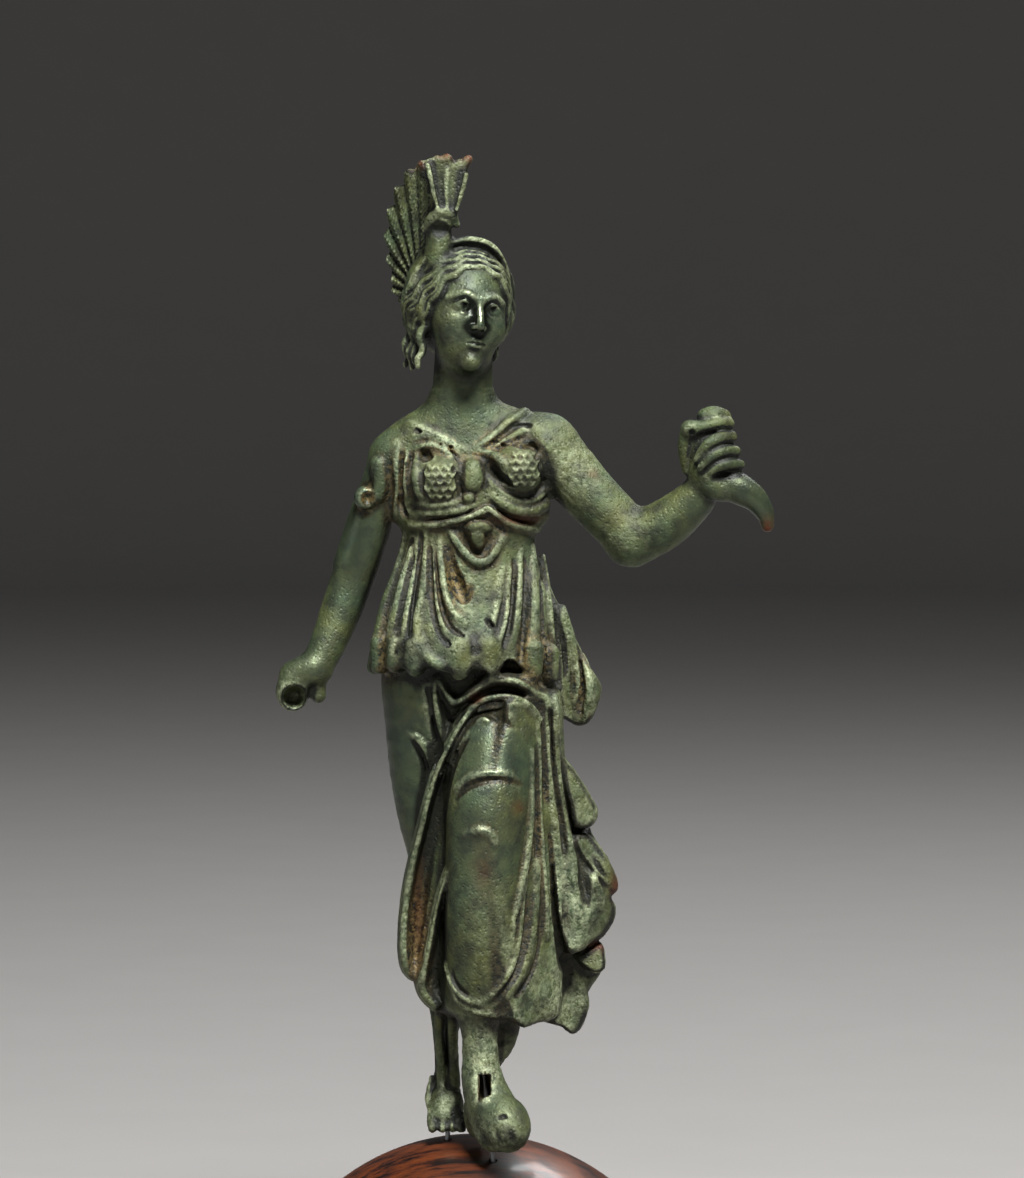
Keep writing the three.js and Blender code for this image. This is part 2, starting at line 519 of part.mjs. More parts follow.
const locks = [-1, 1].flatMap((side) => windOn([...face, ...hairMass], lockLines(side), 6.2, 1.2));
const curls = [...hangingLocks(-1, 4, 43, 62), ...hangingLocks(1, 3, 41, 44)];
const head = placed([...face, ...hairMass, ...locks, ...curls, ...helmet], headOrigin, ...headTurn);

// The crest fans out backwards from a stalk: [back, z] points in its own plane
const crestOrigin = [-36, -6, 0];
const crestTurn = 34; // its plane against straight back, in degrees
const crestSpread = [20, 862]; // where its feathers start
const crestOutline = [
  [-6, 918], [-4, 960], [0, 1003], [10, 1001], [16, 994], [26, 1000], [36, 998], [40, 988], [50, 992],
  [60, 986], [60, 976], [70, 976], [78, 966], [76, 957], [85, 954], [92, 943], [87, 935], [93, 928],
  [94, 916], [87, 909], [90, 900], [86, 890], [79, 884], [82, 872], [72, 862], [62, 856], [48, 872],
  [30, 890],
];

// Feathers that spread from the helmet
const crestRelief = (x, z) => {
  const angle = Math.atan2(z - crestSpread[1], -x - crestSpread[0]);
  const across = THREE.MathUtils.euclideanModulo(angle * 15 / Math.PI, 1) - 0.5;
  return 3.5 + 4 * Math.sqrt(Math.max(1 - 4 * across * across, 0));
};

const crestFan = sheet(crestOutline.map(([back, z]) => [-back, z]), () => 0, crestRelief,
  { blend: 4, round: 5 });
const crestTips = [
  [-58, -6, 995, 4.5], [-47, -16, 996, 4], [-37, -18, 999, 4.5], [-28, -18, 1001, 5], [-17, -17, 997, 3.5],
  [-7, -16, 1000, 4.5],
];
const crest = [
  ...placed([crestFan], crestOrigin, -90 + crestTurn, 0, 0),
  sheet([[-38, 946], [-49, 995], [-40, 1002], [-30, 1003], [-20, 999], [-4, 1003], [-9, 984],
    [-18, 946]], () => -12, () => 9, { blend: 3, round: 5 }),
  ...crestTips.map(([x, y, z, r]) => egg([x, y, z], [r, r, r], { blend: 3 })),
  chain([[-36, -6, 900, 14], [-36, -8, 928, 12]], { blend: 5 }),
  egg([-35, -11, 938], [15, 13, 9], { blend: 3 }),
  chain([[-50, -10, 931, 4], [-44, -17, 941, 5], [-34, -21, 947, 5.5], [-24, -18, 945, 5],
    [-19, -11, 936, 4]], { blend: 3 }),
  egg([-35, -26, 930], [11, 10, 8], { blend: 4, cut: true }),
];

const drapery = [...body, overfold, skirt, frontSkirt, backLeg, frontLeg, ...cloth];
const baseForms = [...drapery, ...arms, ...feet, ...head, ...crest];

// Folds and ornaments laid on the figure, as [x, z, radius] points

const collar = [
  ridge([[-66, 735, 4.5], [-50, 729, 4.5], [-34, 722, 4], [-20, 714, 3.5], [-9, 708, 3]], { blend: 3 }),
  ridge([[-62, 721, 4], [-50, 724, 4.5], [-38, 720, 4], [-27, 713, 4], [-17, 705, 3.5]], { blend: 3 }),
  ridge([[-58, 711, 4], [-46, 714, 4], [-33, 710, 4], [-22, 702, 3.5]], { blend: 3 }),
  ridge([[-2, 709, 4], [8, 716, 4.5], [20, 725, 4.5], [34, 737, 5], [50, 746, 6]], { blend: 3 }),
  ridge([[16, 711, 3.5], [28, 716, 4.5], [40, 723, 5.5], [52, 730, 6]], { blend: 3 }),
  ridge([[61, 730, 6], [70, 716, 6], [76, 700, 6], [79, 684, 6], [76, 668, 6]], { blend: 5 }),
  groove([[-52, 705, 5.5], [-48, 703, 6]], { blend: 2, sink: 0.4 }),
  groove([[38, 716, 2.4], [48, 713, 3.4], [58, 713, 3.4], [62, 703, 3], [65, 692, 2.8], [68, 680, 2.2]],
    { blend: 2, sink: 0.5 }),
];
const breasts = [
  ridge([[-78, 716, 4], [-78, 690, 5], [-77, 664, 5], [-80, 642, 4]], { blend: 3 }),
  ridge([[-68, 708, 3.5], [-69, 685, 4], [-68, 665, 4]], { blend: 2 }),
  ridge([[-58, 702, 4.5], [-59, 688, 5], [-57, 672, 5], [-51, 660, 4]], { blend: 3 }),
  groove([[-21, 692, 2], [-17, 681, 3], [-14, 669, 3], [-13, 660, 2]], { blend: 2, sink: 0.4 }),
  ridge([[-3, 694, 11], [-2, 683, 13], [-4, 672, 10]], { blend: 3, sink: 0.3 }),
  ridge([[-8, 662, 5.5], [-5, 662, 5.5]], { blend: 2, sink: -0.1 }),
  ridge([[2, 707, 4], [14, 706, 4.5], [25, 700, 4.5], [34, 691, 4]], { blend: 3 }),
  groove([[13, 697, 3], [20, 689, 6], [30, 681, 5], [40, 675, 3]], { blend: 2, sink: 0.6 }),
  ridge([[13, 682, 4], [20, 673, 4.5], [31, 665, 4.5], [45, 658, 4.5], [58, 659, 4.5], [68, 668, 4.5],
    [74, 680, 4.5]], { blend: 3, sink: -0.1 }),
  ridge([[14, 669, 4.5], [25, 658, 5.5], [40, 650, 6], [56, 648, 6], [70, 655, 6]],
    { blend: 3, sink: -0.1 }),
  groove([[12, 653, 2.5], [26, 645, 4], [45, 640, 4.5], [62, 638, 3]], { blend: 2, sink: 0.5 }),
  ridge([[-62, 658, 4.5], [-45, 655, 4], [-28, 656, 4], [-12, 660, 4]], { blend: 3 }),
  ridge([[-66, 647, 5], [-40, 647, 5], [-18, 649, 5], [0, 655, 5]], { blend: 3 }),
  groove([[-75, 660, 3.5], [-73, 652, 4], [-70, 645, 3.5]], { blend: 2, sink: 0.5 }),
];
const belt = [
  ridge([[-64, 635, 4], [-40, 635, 4], [-24, 638, 3.5], [-6, 643, 3.5], [6, 648, 4], [14, 651, 4],
    [24, 643, 3.5], [38, 635, 4], [62, 630, 4.5]], { blend: 2, sink: -0.2 }),
  ridge([[-7, 632, 5], [4, 633, 7], [14, 632, 5]], { blend: 3, sink: -0.1 }),
  ridge([[2, 625, 8], [4, 614, 5]], { blend: 3, sink: -0.1 }),
  groove([[-15, 633, 2.4], [-9, 620, 3], [0, 608, 3], [8, 609, 2], [16, 622, 2.4]],
    { blend: 2, sink: 0.5 }),
  ridge([[-26, 630, 3.5], [-20, 621, 4.5], [-13, 611, 4.6], [-5, 602, 4.8], [4, 597, 5], [13, 600, 4.6],
    [20, 609, 5], [28, 622, 4.5]], { blend: 2, sink: -0.3 }),
];
const overfoldFolds = [
  ridge([[-70, 626, 3], [-73, 606, 4], [-81, 580, 5], [-89, 556, 6], [-95, 530, 6.5], [-99, 508, 7],
    [-102, 490, 7.5]], { blend: 3 }),
  ridge([[-62, 622, 3], [-65, 600, 4.5], [-73, 572, 5.5], [-80, 540, 6.5], [-85, 510, 7]], { blend: 3 }),
  ridge([[-57, 620, 3], [-58, 600, 3.5], [-62, 575, 4.5], [-68, 540, 5.5], [-71, 505, 6.5]], { blend: 3 }),
  ridge([[-49, 628, 3.5], [-49, 600, 4], [-53, 565, 4], [-58, 540, 4.5], [-56, 517, 5], [-47, 503, 5],
    [-33, 495, 5], [-12, 492, 5], [12, 492, 4.5]], { blend: 4 }),
  groove([[-63, 619, 2], [-69, 598, 2.5], [-75, 576, 2.5], [-83, 548, 2.5], [-89, 520, 2.5]],
    { blend: 2, sink: 0.5 }),
  ridge([[-36, 622, 3.5], [-34, 600, 4], [-31, 575, 4], [-27, 558, 4], [-19, 545, 3.6], [-10, 537, 3]],
    { blend: 3, sink: -0.1 }),
  groove([[-27, 612, 2], [-23, 592, 4.5], [-17, 574, 7], [-11, 562, 5], [-5, 572, 4]],
    { blend: 4, sink: 0.3 }),
  ridge([[-26, 500, 2.5], [-8, 502, 3], [14, 508, 3], [26, 525, 3], [32, 552, 3.5], [34, 590, 3]],
    { blend: 4 }),
  groove([[12, 540, 2], [17, 534, 2.6]], { blend: 2, sink: 0.4 }),
  ridge([[45, 608, 3], [44, 580, 4], [42, 550, 5], [38, 520, 6]], { blend: 3 }),
  ridge([[57, 612, 4], [58, 580, 6], [58, 545, 7], [57, 512, 8], [57, 500, 8]], { blend: 3 }),
  groove([[50.5, 600, 2], [50, 560, 2.5], [48, 525, 3], [46, 500, 3.5]], { blend: 2, sink: 0.3 }),
  groove([[26, 490, 5], [34, 495, 6], [42, 490, 5]], { blend: 2, sink: 0.2 }),
  ridge([[68, 600, 3], [73, 560, 4], [76, 520, 4.5], [79, 482, 5]], { blend: 3 }),
  groove([[65, 592, 1.8], [67, 555, 2.2], [68, 515, 2.6], [70, 485, 2.6]], { blend: 2, sink: 0.4 }),
];
const thighFolds = [
  ridge([[2, 438, 3], [8, 441, 4], [15, 438, 3.5]], { blend: 2 }),
  ridge([[-8, 330, 2.5], [4, 334, 3.5], [16, 330, 3.5], [20, 320, 3]], { blend: 4 }),
];
const sideFolds = [
  ridge([[78, 466, 4], [80, 440, 5], [80, 412, 5], [82, 385, 5], [88, 345, 5], [94, 315, 5],
    [97, 290, 5]], { blend: 3 }),
  ridge([[69, 462, 3], [72, 430, 3.2], [73, 400, 3.2], [76, 365, 4], [81, 325, 4.5], [85, 295, 4.5]],
    { blend: 3 }),
  ridge([[62, 440, 3], [64, 400, 3], [64, 360, 3], [66, 325, 3], [68, 292, 3.2], [70, 255, 4],
    [70, 222, 5]], { blend: 2.5, sink: -0.2 }),
  ridge([[56, 410, 3], [56, 370, 4], [54, 335, 5], [50, 300, 5.5], [44, 268, 5], [38, 240, 4],
    [35, 210, 3.5]], { blend: 3 }),
  ridge([[61, 300, 3.5], [60, 265, 5], [57, 232, 5.5], [52, 205, 5.5], [44, 184, 5], [32, 168, 4.5],
    [20, 158, 4]], { blend: 3 }),
  ridge([[50, 285, 3], [46, 255, 4], [43, 225, 4], [38, 200, 4], [28, 180, 4], [16, 166, 3.5],
    [4, 160, 3.5]], { blend: 3 }),
  groove([[66, 250, 1.5], [64, 215, 2], [58, 190, 2.6], [50, 176, 3], [42, 165, 3.5]],
    { blend: 2, sink: 0.3 }),
  ridge([[-29, 196, 3], [-24, 180, 3.5], [-14, 167, 3.5], [-2, 160, 3.5], [10, 158, 3.5]], { blend: 3 }),
];
const legFolds = [
  ridge([[-66, 426, 3], [-57, 420, 4], [-49, 408, 4.5], [-44, 390, 4]], { blend: 3 }),
  ridge([[-40, 478, 3], [-39, 455, 3.5], [-34, 432, 4], [-27, 412, 4]], { blend: 2, sink: -0.3 }),
  ridge([[-8, 452, 3], [-18, 436, 3.5], [-25, 424, 3.5]], { blend: 2 }),
];
const flareFolds = [
  groove([[85, 384, 1.5], [92, 352, 2.5], [97, 330, 3], [103, 305, 3], [114, 288, 2.6], [128, 272, 2.4],
    [140, 262, 2]], { blend: 2, sink: 0.4 }),
  ridge([[96, 295, 5], [98, 262, 8], [100, 232, 8]], { blend: 6 }),
  ridge([[118, 280, 3], [124, 262, 4], [127, 245, 4]], { blend: 5 }),
];
const mantleFolds = [
  ridge([[88, 548, 4], [97, 515, 5], [104, 480, 5], [102, 452, 4.5]], { blend: 3 }),
  groove([[85, 532, 2.2], [90, 505, 2.8], [92, 478, 2.8]], { blend: 2, sink: 0.4 }),
  ridge([[108, 500, 3], [116, 470, 4.5], [112, 444, 5]], { blend: 3 }),
];

const strokes = [...collar, ...breasts, ...belt, ...overfoldFolds, ...thighFolds, ...sideFolds, ...legFolds,
  ...flareFolds, ...mantleFolds];
const bodyField = fieldOf([...drapery, ...arms.slice(0, 2), ...hemRim]);
const laidForms = strokes.map((stroke) => lay(bodyField, stroke));

// Turning the field into one closed faceted surface

const fineSpans = [[[-92, 52], [205, 305]], [[-62, 62]], [[640, 1010]]]; // head, crest and raised fist

function axisLines(low, high, fineRanges) {
  const lines = [low];
  while (lines.at(-1) < high) {
    const at = lines.at(-1);
    const fine = fineRanges.some(([from, to]) => at >= from && at < to);
    lines.push(at + (fine ? fineStep : coarseStep) / share);
  }
  return lines;
}

// Sampled distances on a grid, block by block; blocks far from the surface only keep their sign
function sampleField(forms, axes) {
  const [nx, ny, nz] = axes.map((lines) => lines.length);
  const values = new Float32Array(nx * ny * nz).fill(farAway);
  const blockCells = 8;
  const span = (start, axis) => [start, Math.min(start + blockCells, axes[axis].length - 1)];
  for (let k0 = 0; k0 < nz; k0 += blockCells) {
    for (let j0 = 0; j0 < ny; j0 += blockCells) {
      for (let i0 = 0; i0 < nx; i0 += blockCells) {
        const spans = [span(i0, 0), span(j0, 1), span(k0, 2)];
        const low = spans.map(([from], axis) => axes[axis][from]);
        const high = spans.map(([, to], axis) => axes[axis][to]);
        const near = forms.filter((form) => low.every((value, axis) =>
          form.low[axis] - form.blend < high[axis] && form.high[axis] + form.blend > value));
        if (near.every((form) => form.cut)) continue;
        const field = fieldOf(near);
        const reach = Math.hypot(...low.map((value, axis) => high[axis] - value)) + 4;
        const center = field(...low.map((value, axis) => (value + high[axis]) / 2));
        if (center > reach) continue;
        for (let k = spans[2][0]; k <= spans[2][1]; k++) {
          for (let j = spans[1][0]; j <= spans[1][1]; j++) {
            for (let i = spans[0][0]; i <= spans[0][1]; i++) {
              const at = (k * ny + j) * nx + i;
              if (center > -reach) values[at] = field(axes[0][i], axes[1][j], axes[2][k]);
              else if (values[at] === farAway) values[at] = -farAway;
            }
          }
        }
      }
    }
  }
  return values;
}

// Six tetrahedra fill each cell along its long diagonal, so the surface always closes
const cellPaths = [[1, 2, 4], [1, 4, 2], [2, 1, 4], [2, 4, 1], [4, 1, 2], [4, 2, 1]]
  .map(([a, b]) => [0, a, a | b, 7]);

function facetField(forms, axes) {
  const values = sampleField(forms, axes);
  const [nx, ny, nz] = axes.map((lines) => lines.length);
  const strides = [1, nx, nx * ny];
  const jump = Array.from({ length: 8 }, (_, mask) =>
    (mask & 1 ? strides[0] : 0) + (mask & 2 ? strides[1] : 0) + (mask & 4 ? strides[2] : 0));
  const known = new Map();
  const points = [];
  const triangles = [];
  const pointAt = (at) =>
    [axes[0][at % nx], axes[1][Math.floor(at / nx) % ny], axes[2][Math.floor(at / (nx * ny))]];
  const crossing = (base, from, to) => {
    const [a, b] = from < to ? [from, to] : [to, from];
    const key = (base + jump[a]) * 8 + (a ^ b);
    if (known.has(key)) return known.get(key);
    const va = values[base + jump[a]];
    const vb = values[base + jump[b]];
    const t = THREE.MathUtils.clamp(va / (va - vb), 0.06, 0.94);
    const pa = pointAt(base + jump[a]);
    const pb = pointAt(base + jump[b]);
    points.push(pa.map((value, axis) => value + t * (pb[axis] - value)));
    known.set(key, points.length - 1);
    return points.length - 1;
  };
  const addTriangle = (a, b, c, outwards) => {
    const [pa, pb, pc] = [points[a], points[b], points[c]];
    const u = pb.map((value, axis) => value - pa[axis]);
    const v = pc.map((value, axis) => value - pa[axis]);
    const facing = (u[1] * v[2] - u[2] * v[1]) * outwards[0] + (u[2] * v[0] - u[0] * v[2]) * outwards[1]
      + (u[0] * v[1] - u[1] * v[0]) * outwards[2];
    triangles.push(facing > 0 ? [a, b, c] : [a, c, b]);
  };
  for (let k = 0; k < nz - 1; k++) {
    for (let j = 0; j < ny - 1; j++) {
      for (let i = 0; i < nx - 1; i++) {
        const base = (k * ny + j) * nx + i;
        const inside = jump.map((step) => values[base + step] < 0);
        if (inside.every((value) => value === inside[0])) continue;
        for (const path of cellPaths) {
          const ins = path.filter((corner) => inside[corner]);
          const outs = path.filter((corner) => !inside[corner]);
          if (!ins.length || !outs.length) continue;
          const mean = (corners, axis) => corners.reduce((sum, corner) =>
            sum + pointAt(base + jump[corner])[axis], 0) / corners.length;
          const outwards = [0, 1, 2].map((axis) => mean(outs, axis) - mean(ins, axis));
          if (ins.length === 2) {
            const quad = [[0, 0], [0, 1], [1, 1], [1, 0]].map(([a, b]) => crossing(base, ins[a], outs[b]));
            addTriangle(quad[0], quad[1], quad[2], outwards);
            addTriangle(quad[0], quad[2], quad[3], outwards);
          } else {
            const lone = ins.length === 1 ? ins[0] : outs[0];
            const others = ins.length === 1 ? outs : ins;
            const corner = others.map((other) => crossing(base, lone, other));
            addTriangle(...corner, outwards);
          }
        }
      }
    }
  }
  return { points, triangles };
}

// The outer skin alone: closed pockets between the forms are filled and stray crumbs dropped
function largestShell({ points, triangles }) {
  const root = points.map((_, at) => at);
  const find = (at) => {
    while (root[at] !== at) {
      root[at] = root[root[at]];
      at = root[at];
    }
    return at;
  };
  for (const [a, b, c] of triangles) {
    root[find(b)] = find(a);
    root[find(c)] = find(a);
  }
  const counts = new Map();
  for (const [a] of triangles) counts.set(find(a), (counts.get(find(a)) ?? 0) + 1);
  const largest = [...counts].sort((p, q) => q[1] - p[1])[0][0];
  return { points, triangles: triangles.filter(([a]) => find(a) === largest) };
}

// A surface's own error measure: squared distances to the planes of the facets round a point
function facetPlane(points, [a, b, c]) {
  const [pa, pb, pc] = [points[a], points[b], points[c]];
  const ux = pb[0] - pa[0];
  const uy = pb[1] - pa[1];
  const uz = pb[2] - pa[2];
  const vx = pc[0] - pa[0];
  const vy = pc[1] - pa[1];
  const vz = pc[2] - pa[2];
  const nx = uy * vz - uz * vy;
  const ny = uz * vx - ux * vz;
  const nz = ux * vy - uy * vx;
  const length = Math.hypot(nx, ny, nz) || 1e-12;
  const plane = [nx / length, ny / length, nz / length];
  return { plane, offset: -(plane[0] * pa[0] + plane[1] * pa[1] + plane[2] * pa[2]), area: length / 2 };
}

const quadricTerms = 10;

function addPlane(quadrics, at, { plane: [x, y, z], offset, area }, weight) {
  const w = area * weight;
  const terms = [x * x, x * y, x * z, x * offset, y * y, y * z, y * offset, z * z, z * offset,
    offset * offset];
  terms.forEach((term, i) => { quadrics[at * quadricTerms + i] += w * term; });
}

// The point where two joined ends lose least, and what is lost there
function bestMerge(quadrics, points, a, b) {
  const q = [];
  for (let i = 0; i < quadricTerms; i++) {
    q.push(quadrics[a * quadricTerms + i] + quadrics[b * quadricTerms + i]);
  }
  const middle = points[a].map((value, axis) => (value + points[b][axis]) / 2);
  const hold = 1e-3 * (q[0] + q[4] + q[7]) + 1e-9;
  const [m00, m01, m02] = [q[0] + hold, q[1], q[2]];
  const [m11, m12, m22] = [q[4] + hold, q[5], q[7] + hold];
  const r = [hold * middle[0] - q[3], hold * middle[1] - q[6], hold * middle[2] - q[8]];
  const c00 = m11 * m22 - m12 * m12;
  const c01 = m02 * m12 - m01 * m22;
  const c02 = m01 * m12 - m02 * m11;
  const det = m00 * c00 + m01 * c01 + m02 * c02;
  const c11 = m00 * m22 - m02 * m02;
  const c12 = m01 * m02 - m00 * m12;
  const c22 = m00 * m11 - m01 * m01;
  const x = (c00 * r[0] + c01 * r[1] + c02 * r[2]) / det;
  const y = (c01 * r[0] + c11 * r[1] + c12 * r[2]) / det;
  const z = (c02 * r[0] + c12 * r[1] + c22 * r[2]) / det;
  const loss = q[0] * x * x + q[4] * y * y + q[7] * z * z + q[9]
    + 2 * (q[1] * x * y + q[2] * x * z + q[5] * y * z + q[3] * x + q[6] * y + q[8] * z);
  return { loss: Math.max(loss, 0), spot: [x, y, z] };
}

// A heap of point pairs, the pair with the least loss first
class MergeQueue {
  constructor() {
    this.size = 0;
    this.loss = new Float64Array(4096);
    this.pair = new Float64Array(4096);
    this.stamp = new Uint32Array(4096);
  }

  widen() {
    for (const name of ['loss', 'pair', 'stamp']) {
      const wider = new this[name].constructor(2 * this[name].length);
      wider.set(this[name]);
      this[name] = wider;
    }
  }

  move(from, to) {
    this.loss[to] = this.loss[from];
    this.pair[to] = this.pair[from];
    this.stamp[to] = this.stamp[from];
  }

  put(at, { loss, pair, stamp }) {
    this.loss[at] = loss;
    this.pair[at] = pair;
    this.stamp[at] = stamp;
  }

  push(entry) {
    if (this.size === this.loss.length) this.widen();
    let at = this.size++;
    while (at > 0 && this.loss[(at - 1) >> 1] > entry.loss) {
      this.move((at - 1) >> 1, at);
      at = (at - 1) >> 1;
    }
    this.put(at, entry);
  }

  pop() {
    const first = { loss: this.loss[0], pair: this.pair[0], stamp: this.stamp[0] };
    const size = --this.size;
    const last = { loss: this.loss[size], pair: this.pair[size], stamp: this.stamp[size] };
    let at = 0;
    for (;;) {
      let child = 2 * at + 1;
      if (child + 1 < size && this.loss[child + 1] < this.loss[child]) child++;
      if (child >= size || this.loss[child] >= last.loss) break;
      this.move(child, at);
      at = child;
    }
    this.put(at, last);
    return first;
  }
}

// Merges neighbouring points, least loss first, until the wanted number of facets is left
function simplify({ points, triangles }, wanted, weightAt) {
  const quadrics = new Float64Array(points.length * quadricTerms);
  const touching = points.map(() => []);
  const stamps = new Uint32Array(points.length);
  triangles.forEach((triangle, index) => {
    const plane = facetPlane(points, triangle);
    const weight = weightAt(points[triangle[0]]);
    for (const at of triangle) {
      addPlane(quadrics, at, plane, weight);
      touching[at].push(index);
    }
  });
  const neighbours = (at) => {
    const found = [];
    for (const index of touching[at]) {
      for (const p of triangles[index]) if (p !== at && !found.includes(p)) found.push(p);
    }
    return found;
  };
  const queue = new MergeQueue();
  const offer = (a, b) => queue.push({
    loss: bestMerge(quadrics, points, a, b).loss, pair: a * points.length + b, stamp: stamps[a] + stamps[b],
  });
  for (let a = 0; a < points.length; a++) {
    for (const b of neighbours(a)) if (a < b) offer(a, b);
  }
  const leastFacing = 0.3; // a facet may turn by no more than this cosine in one merge
  const leastFatness = 0.02; // its area over its longest edge squared
  const spoils = (moved, other, spot) => touching[moved].some((index) => {
    const triangle = triangles[index];
    if (triangle.includes(other)) return false;
    const before = facetPlane(points, triangle);
    const kept = points[moved];
    points[moved] = spot;
    const after = facetPlane(points, triangle);
    const longest = Math.max(...triangle.map((p, i) => {
      const [from, to] = [points[p], points[triangle[(i + 1) % 3]]];
      return (from[0] - to[0]) ** 2 + (from[1] - to[1]) ** 2 + (from[2] - to[2]) ** 2;
    }));
    points[moved] = kept;
    const facing = before.plane[0] * after.plane[0] + before.plane[1] * after.plane[1]
      + before.plane[2] * after.plane[2];
    return facing < leastFacing || after.area < leastFatness * longest;
  });
  let left = triangles.length;
  while (left > wanted && queue.size) {
    const { pair, stamp } = queue.pop();
    const a = Math.floor(pair / points.length);
    const b = pair % points.length;
    if (!touching[a].length || !touching[b].length || stamps[a] + stamps[b] !== stamp) continue;
    const nextToB = neighbours(b);
    if (neighbours(a).filter((p) => nextToB.includes(p)).length !== 2) continue;
    const { spot } = bestMerge(quadrics, points, a, b);
    if (spoils(a, b, spot) || spoils(b, a, spot)) continue;
    const gone = touching[a].filter((index) => triangles[index].includes(b));
    for (const at of new Set(gone.flatMap((index) => triangles[index]))) {
      touching[at] = touching[at].filter((index) => !gone.includes(index));
    }
    left -= gone.length;
    for (const index of touching[b]) {
      triangles[index] = triangles[index].map((p) => (p === b ? a : p));
      touching[a].push(index);
    }
    touching[b] = [];
    points[a] = spot;
    for (let i = 0; i < quadricTerms; i++) quadrics[a * quadricTerms + i] += quadrics[b * quadricTerms + i];
    stamps[a] += stamps[b] + 1;
    for (const p of neighbours(a)) offer(a, p);
  }
  const used = [...new Set(touching.flat())].sort((p, q) => p - q);
  return { points, triangles: used.map((index) => triangles[index]) };
}

// Solids for joining and cutting, and meshes from them

function solidOf(geometry) {
  const bare = geometry.clone();
  bare.deleteAttribute('normal');
  bare.deleteAttribute('uv');
  const merged = mergeVertices(bare, 1e-4);
  return new wasm.Manifold(new wasm.Mesh({
    numProp: 3,
    vertProperties: new Float32Array(merged.attributes.position.array),
    triVerts: new Uint32Array(merged.index.array),
  }));
}

function geometryOf(solid) {
  const mesh = solid.getMesh();
  const geometry = new THREE.BufferGeometry();
  geometry.setAttribute('position', new THREE.BufferAttribute(new Float32Array(mesh.vertProperties), 3));
  geometry.setIndex(new THREE.BufferAttribute(new Uint32Array(mesh.triVerts), 1));
  geometry.computeVertexNormals();
  return geometry;
}

function namedMesh(name, geometry, color, roughness, metalness) {
  const mesh = new THREE.Mesh(geometry, new THREE.MeshStandardMaterial({ color, roughness, metalness }));
  mesh.name = name;
  return mesh;
}

// Where the figure stands: the foot of the front pin is on the ball's surface

const ballMiddleZ = baseHeight - ballRadius;
const ballTopAt = (x, y) => ballMiddleZ + Math.sqrt(ballRadius ** 2 - x ** 2 - y ** 2);
const frontPinSpot = [18, -75]; // across and back, where it enters the wood
const frontPinLean = [-0.11, 0.09]; // across and back for each unit up
const rearPinSpot = [-28, -12];
const rearPinLean = [0, 0.04];
const figureZ = ballTopAt(frontPinSpot[0] * share, frontPinSpot[1] * share);

function placeFigure(geometry) {
  return geometry.scale(share, share, share).translate(0, 0, figureZ);
}

function castFigure() {
  const forms = [...baseForms, ...edges, ...channels, ...laidForms];
  const edgeRoom = 9; // clear of the forms' boxes all round
  const adding = forms.filter((form) => !form.cut);
  const low = [0, 1, 2].map((axis) => Math.min(...adding.map((form) => form.low[axis])) - edgeRoom);
  const high = [0, 1, 2].map((axis) => Math.max(...adding.map((form) => form.high[axis])) + edgeRoom);
  const axes = low.map((value, axis) => axisLines(value, high[axis], fineSpans[axis]));
  const dense = largestShell(facetField(forms, axes));
  const light = simplify(dense, figureTriangles, ([x, , z]) => (z > 770 ? 5 : x > 200 ? 3 : 1));
  const geometry = new THREE.BufferGeometry();
  geometry.setAttribute('position', new THREE.Float32BufferAttribute(light.points.flat(), 3));
  geometry.setIndex(light.triangles.flat());
  return solidOf(placeFigure(geometry));
}

// A rod from below the ball's surface up into a foot, or the bore round it
function pinRod(spot, lean, inWood, inFoot, clearance) {
  const foot = new THREE.Vector3(spot[0] * share, spot[1] * share, 0);
  foot.z = ballTopAt(foot.x, foot.y);
  const way = new THREE.Vector3(lean[0], lean[1], 1).normalize();
  const length = inWood + inFoot + 2 * clearance;
  const radius = pinDiameter / 2 + clearance;
  const rod = new THREE.CylinderGeometry(radius, radius, length, pinSides);
  rod.translate(0, (inFoot - inWood) / 2, 0);
  rod.applyQuaternion(new THREE.Quaternion().setFromUnitVectors(new THREE.Vector3(0, 1, 0), way));
  return rod.translate(...foot.toArray());
}

const frontPin = (clearance) =>
  pinRod(frontPinSpot, frontPinLean, frontPinInWood, frontPinInFoot, clearance);
const rearPin = (clearance) =>
  pinRod(rearPinSpot, rearPinLean, rearPinInWood, rearPinInFoot, clearance);

// The broken-out slot above the front foot reaches back to the pin's bore
function ankleSlot() {
  const rise = frontPinInFoot - slotHeight / 2 - pinClearance;
  const x = frontPinSpot[0] * share + frontPinLean[0] * rise;
  const y = frontPinSpot[1] * share + frontPinLean[1] * rise;
  const slot = new THREE.BoxGeometry(slotWidth, slotDepth, slotHeight);
  return slot.translate(x, y - slotDepth / 2 + pinDiameter / 2, figureZ + rise);
}

function turnedBall() {
  const rimRadius = Math.sqrt(ballRadius ** 2 - (baseChamfer - ballMiddleZ) ** 2);
  const profile = [[0, 0], [rimRadius - baseChamfer, 0]];
  const rimAngle = Math.asin((baseChamfer - ballMiddleZ) / ballRadius);
  for (let ring = 0; ring < ballRings; ring++) {
    const angle = THREE.MathUtils.lerp(rimAngle, Math.PI / 2, ring / ballRings);
    profile.push([ballRadius * Math.cos(angle), ballMiddleZ + ballRadius * Math.sin(angle)]);
  }
  profile.push([0, baseHeight]);
  const ball = new THREE.LatheGeometry(profile.map(([r, z]) => new THREE.Vector2(r, z)), ballSegments);
  return ball.rotateX(Math.PI / 2);
}

const bores = [frontPin(pinClearance), rearPin(pinClearance)].map(solidOf);
const figure = [...bores, solidOf(ankleSlot())].reduce((rest, tool) => rest.subtract(tool), castFigure());
const ball = bores.reduce((rest, tool) => rest.subtract(tool), solidOf(turnedBall()));

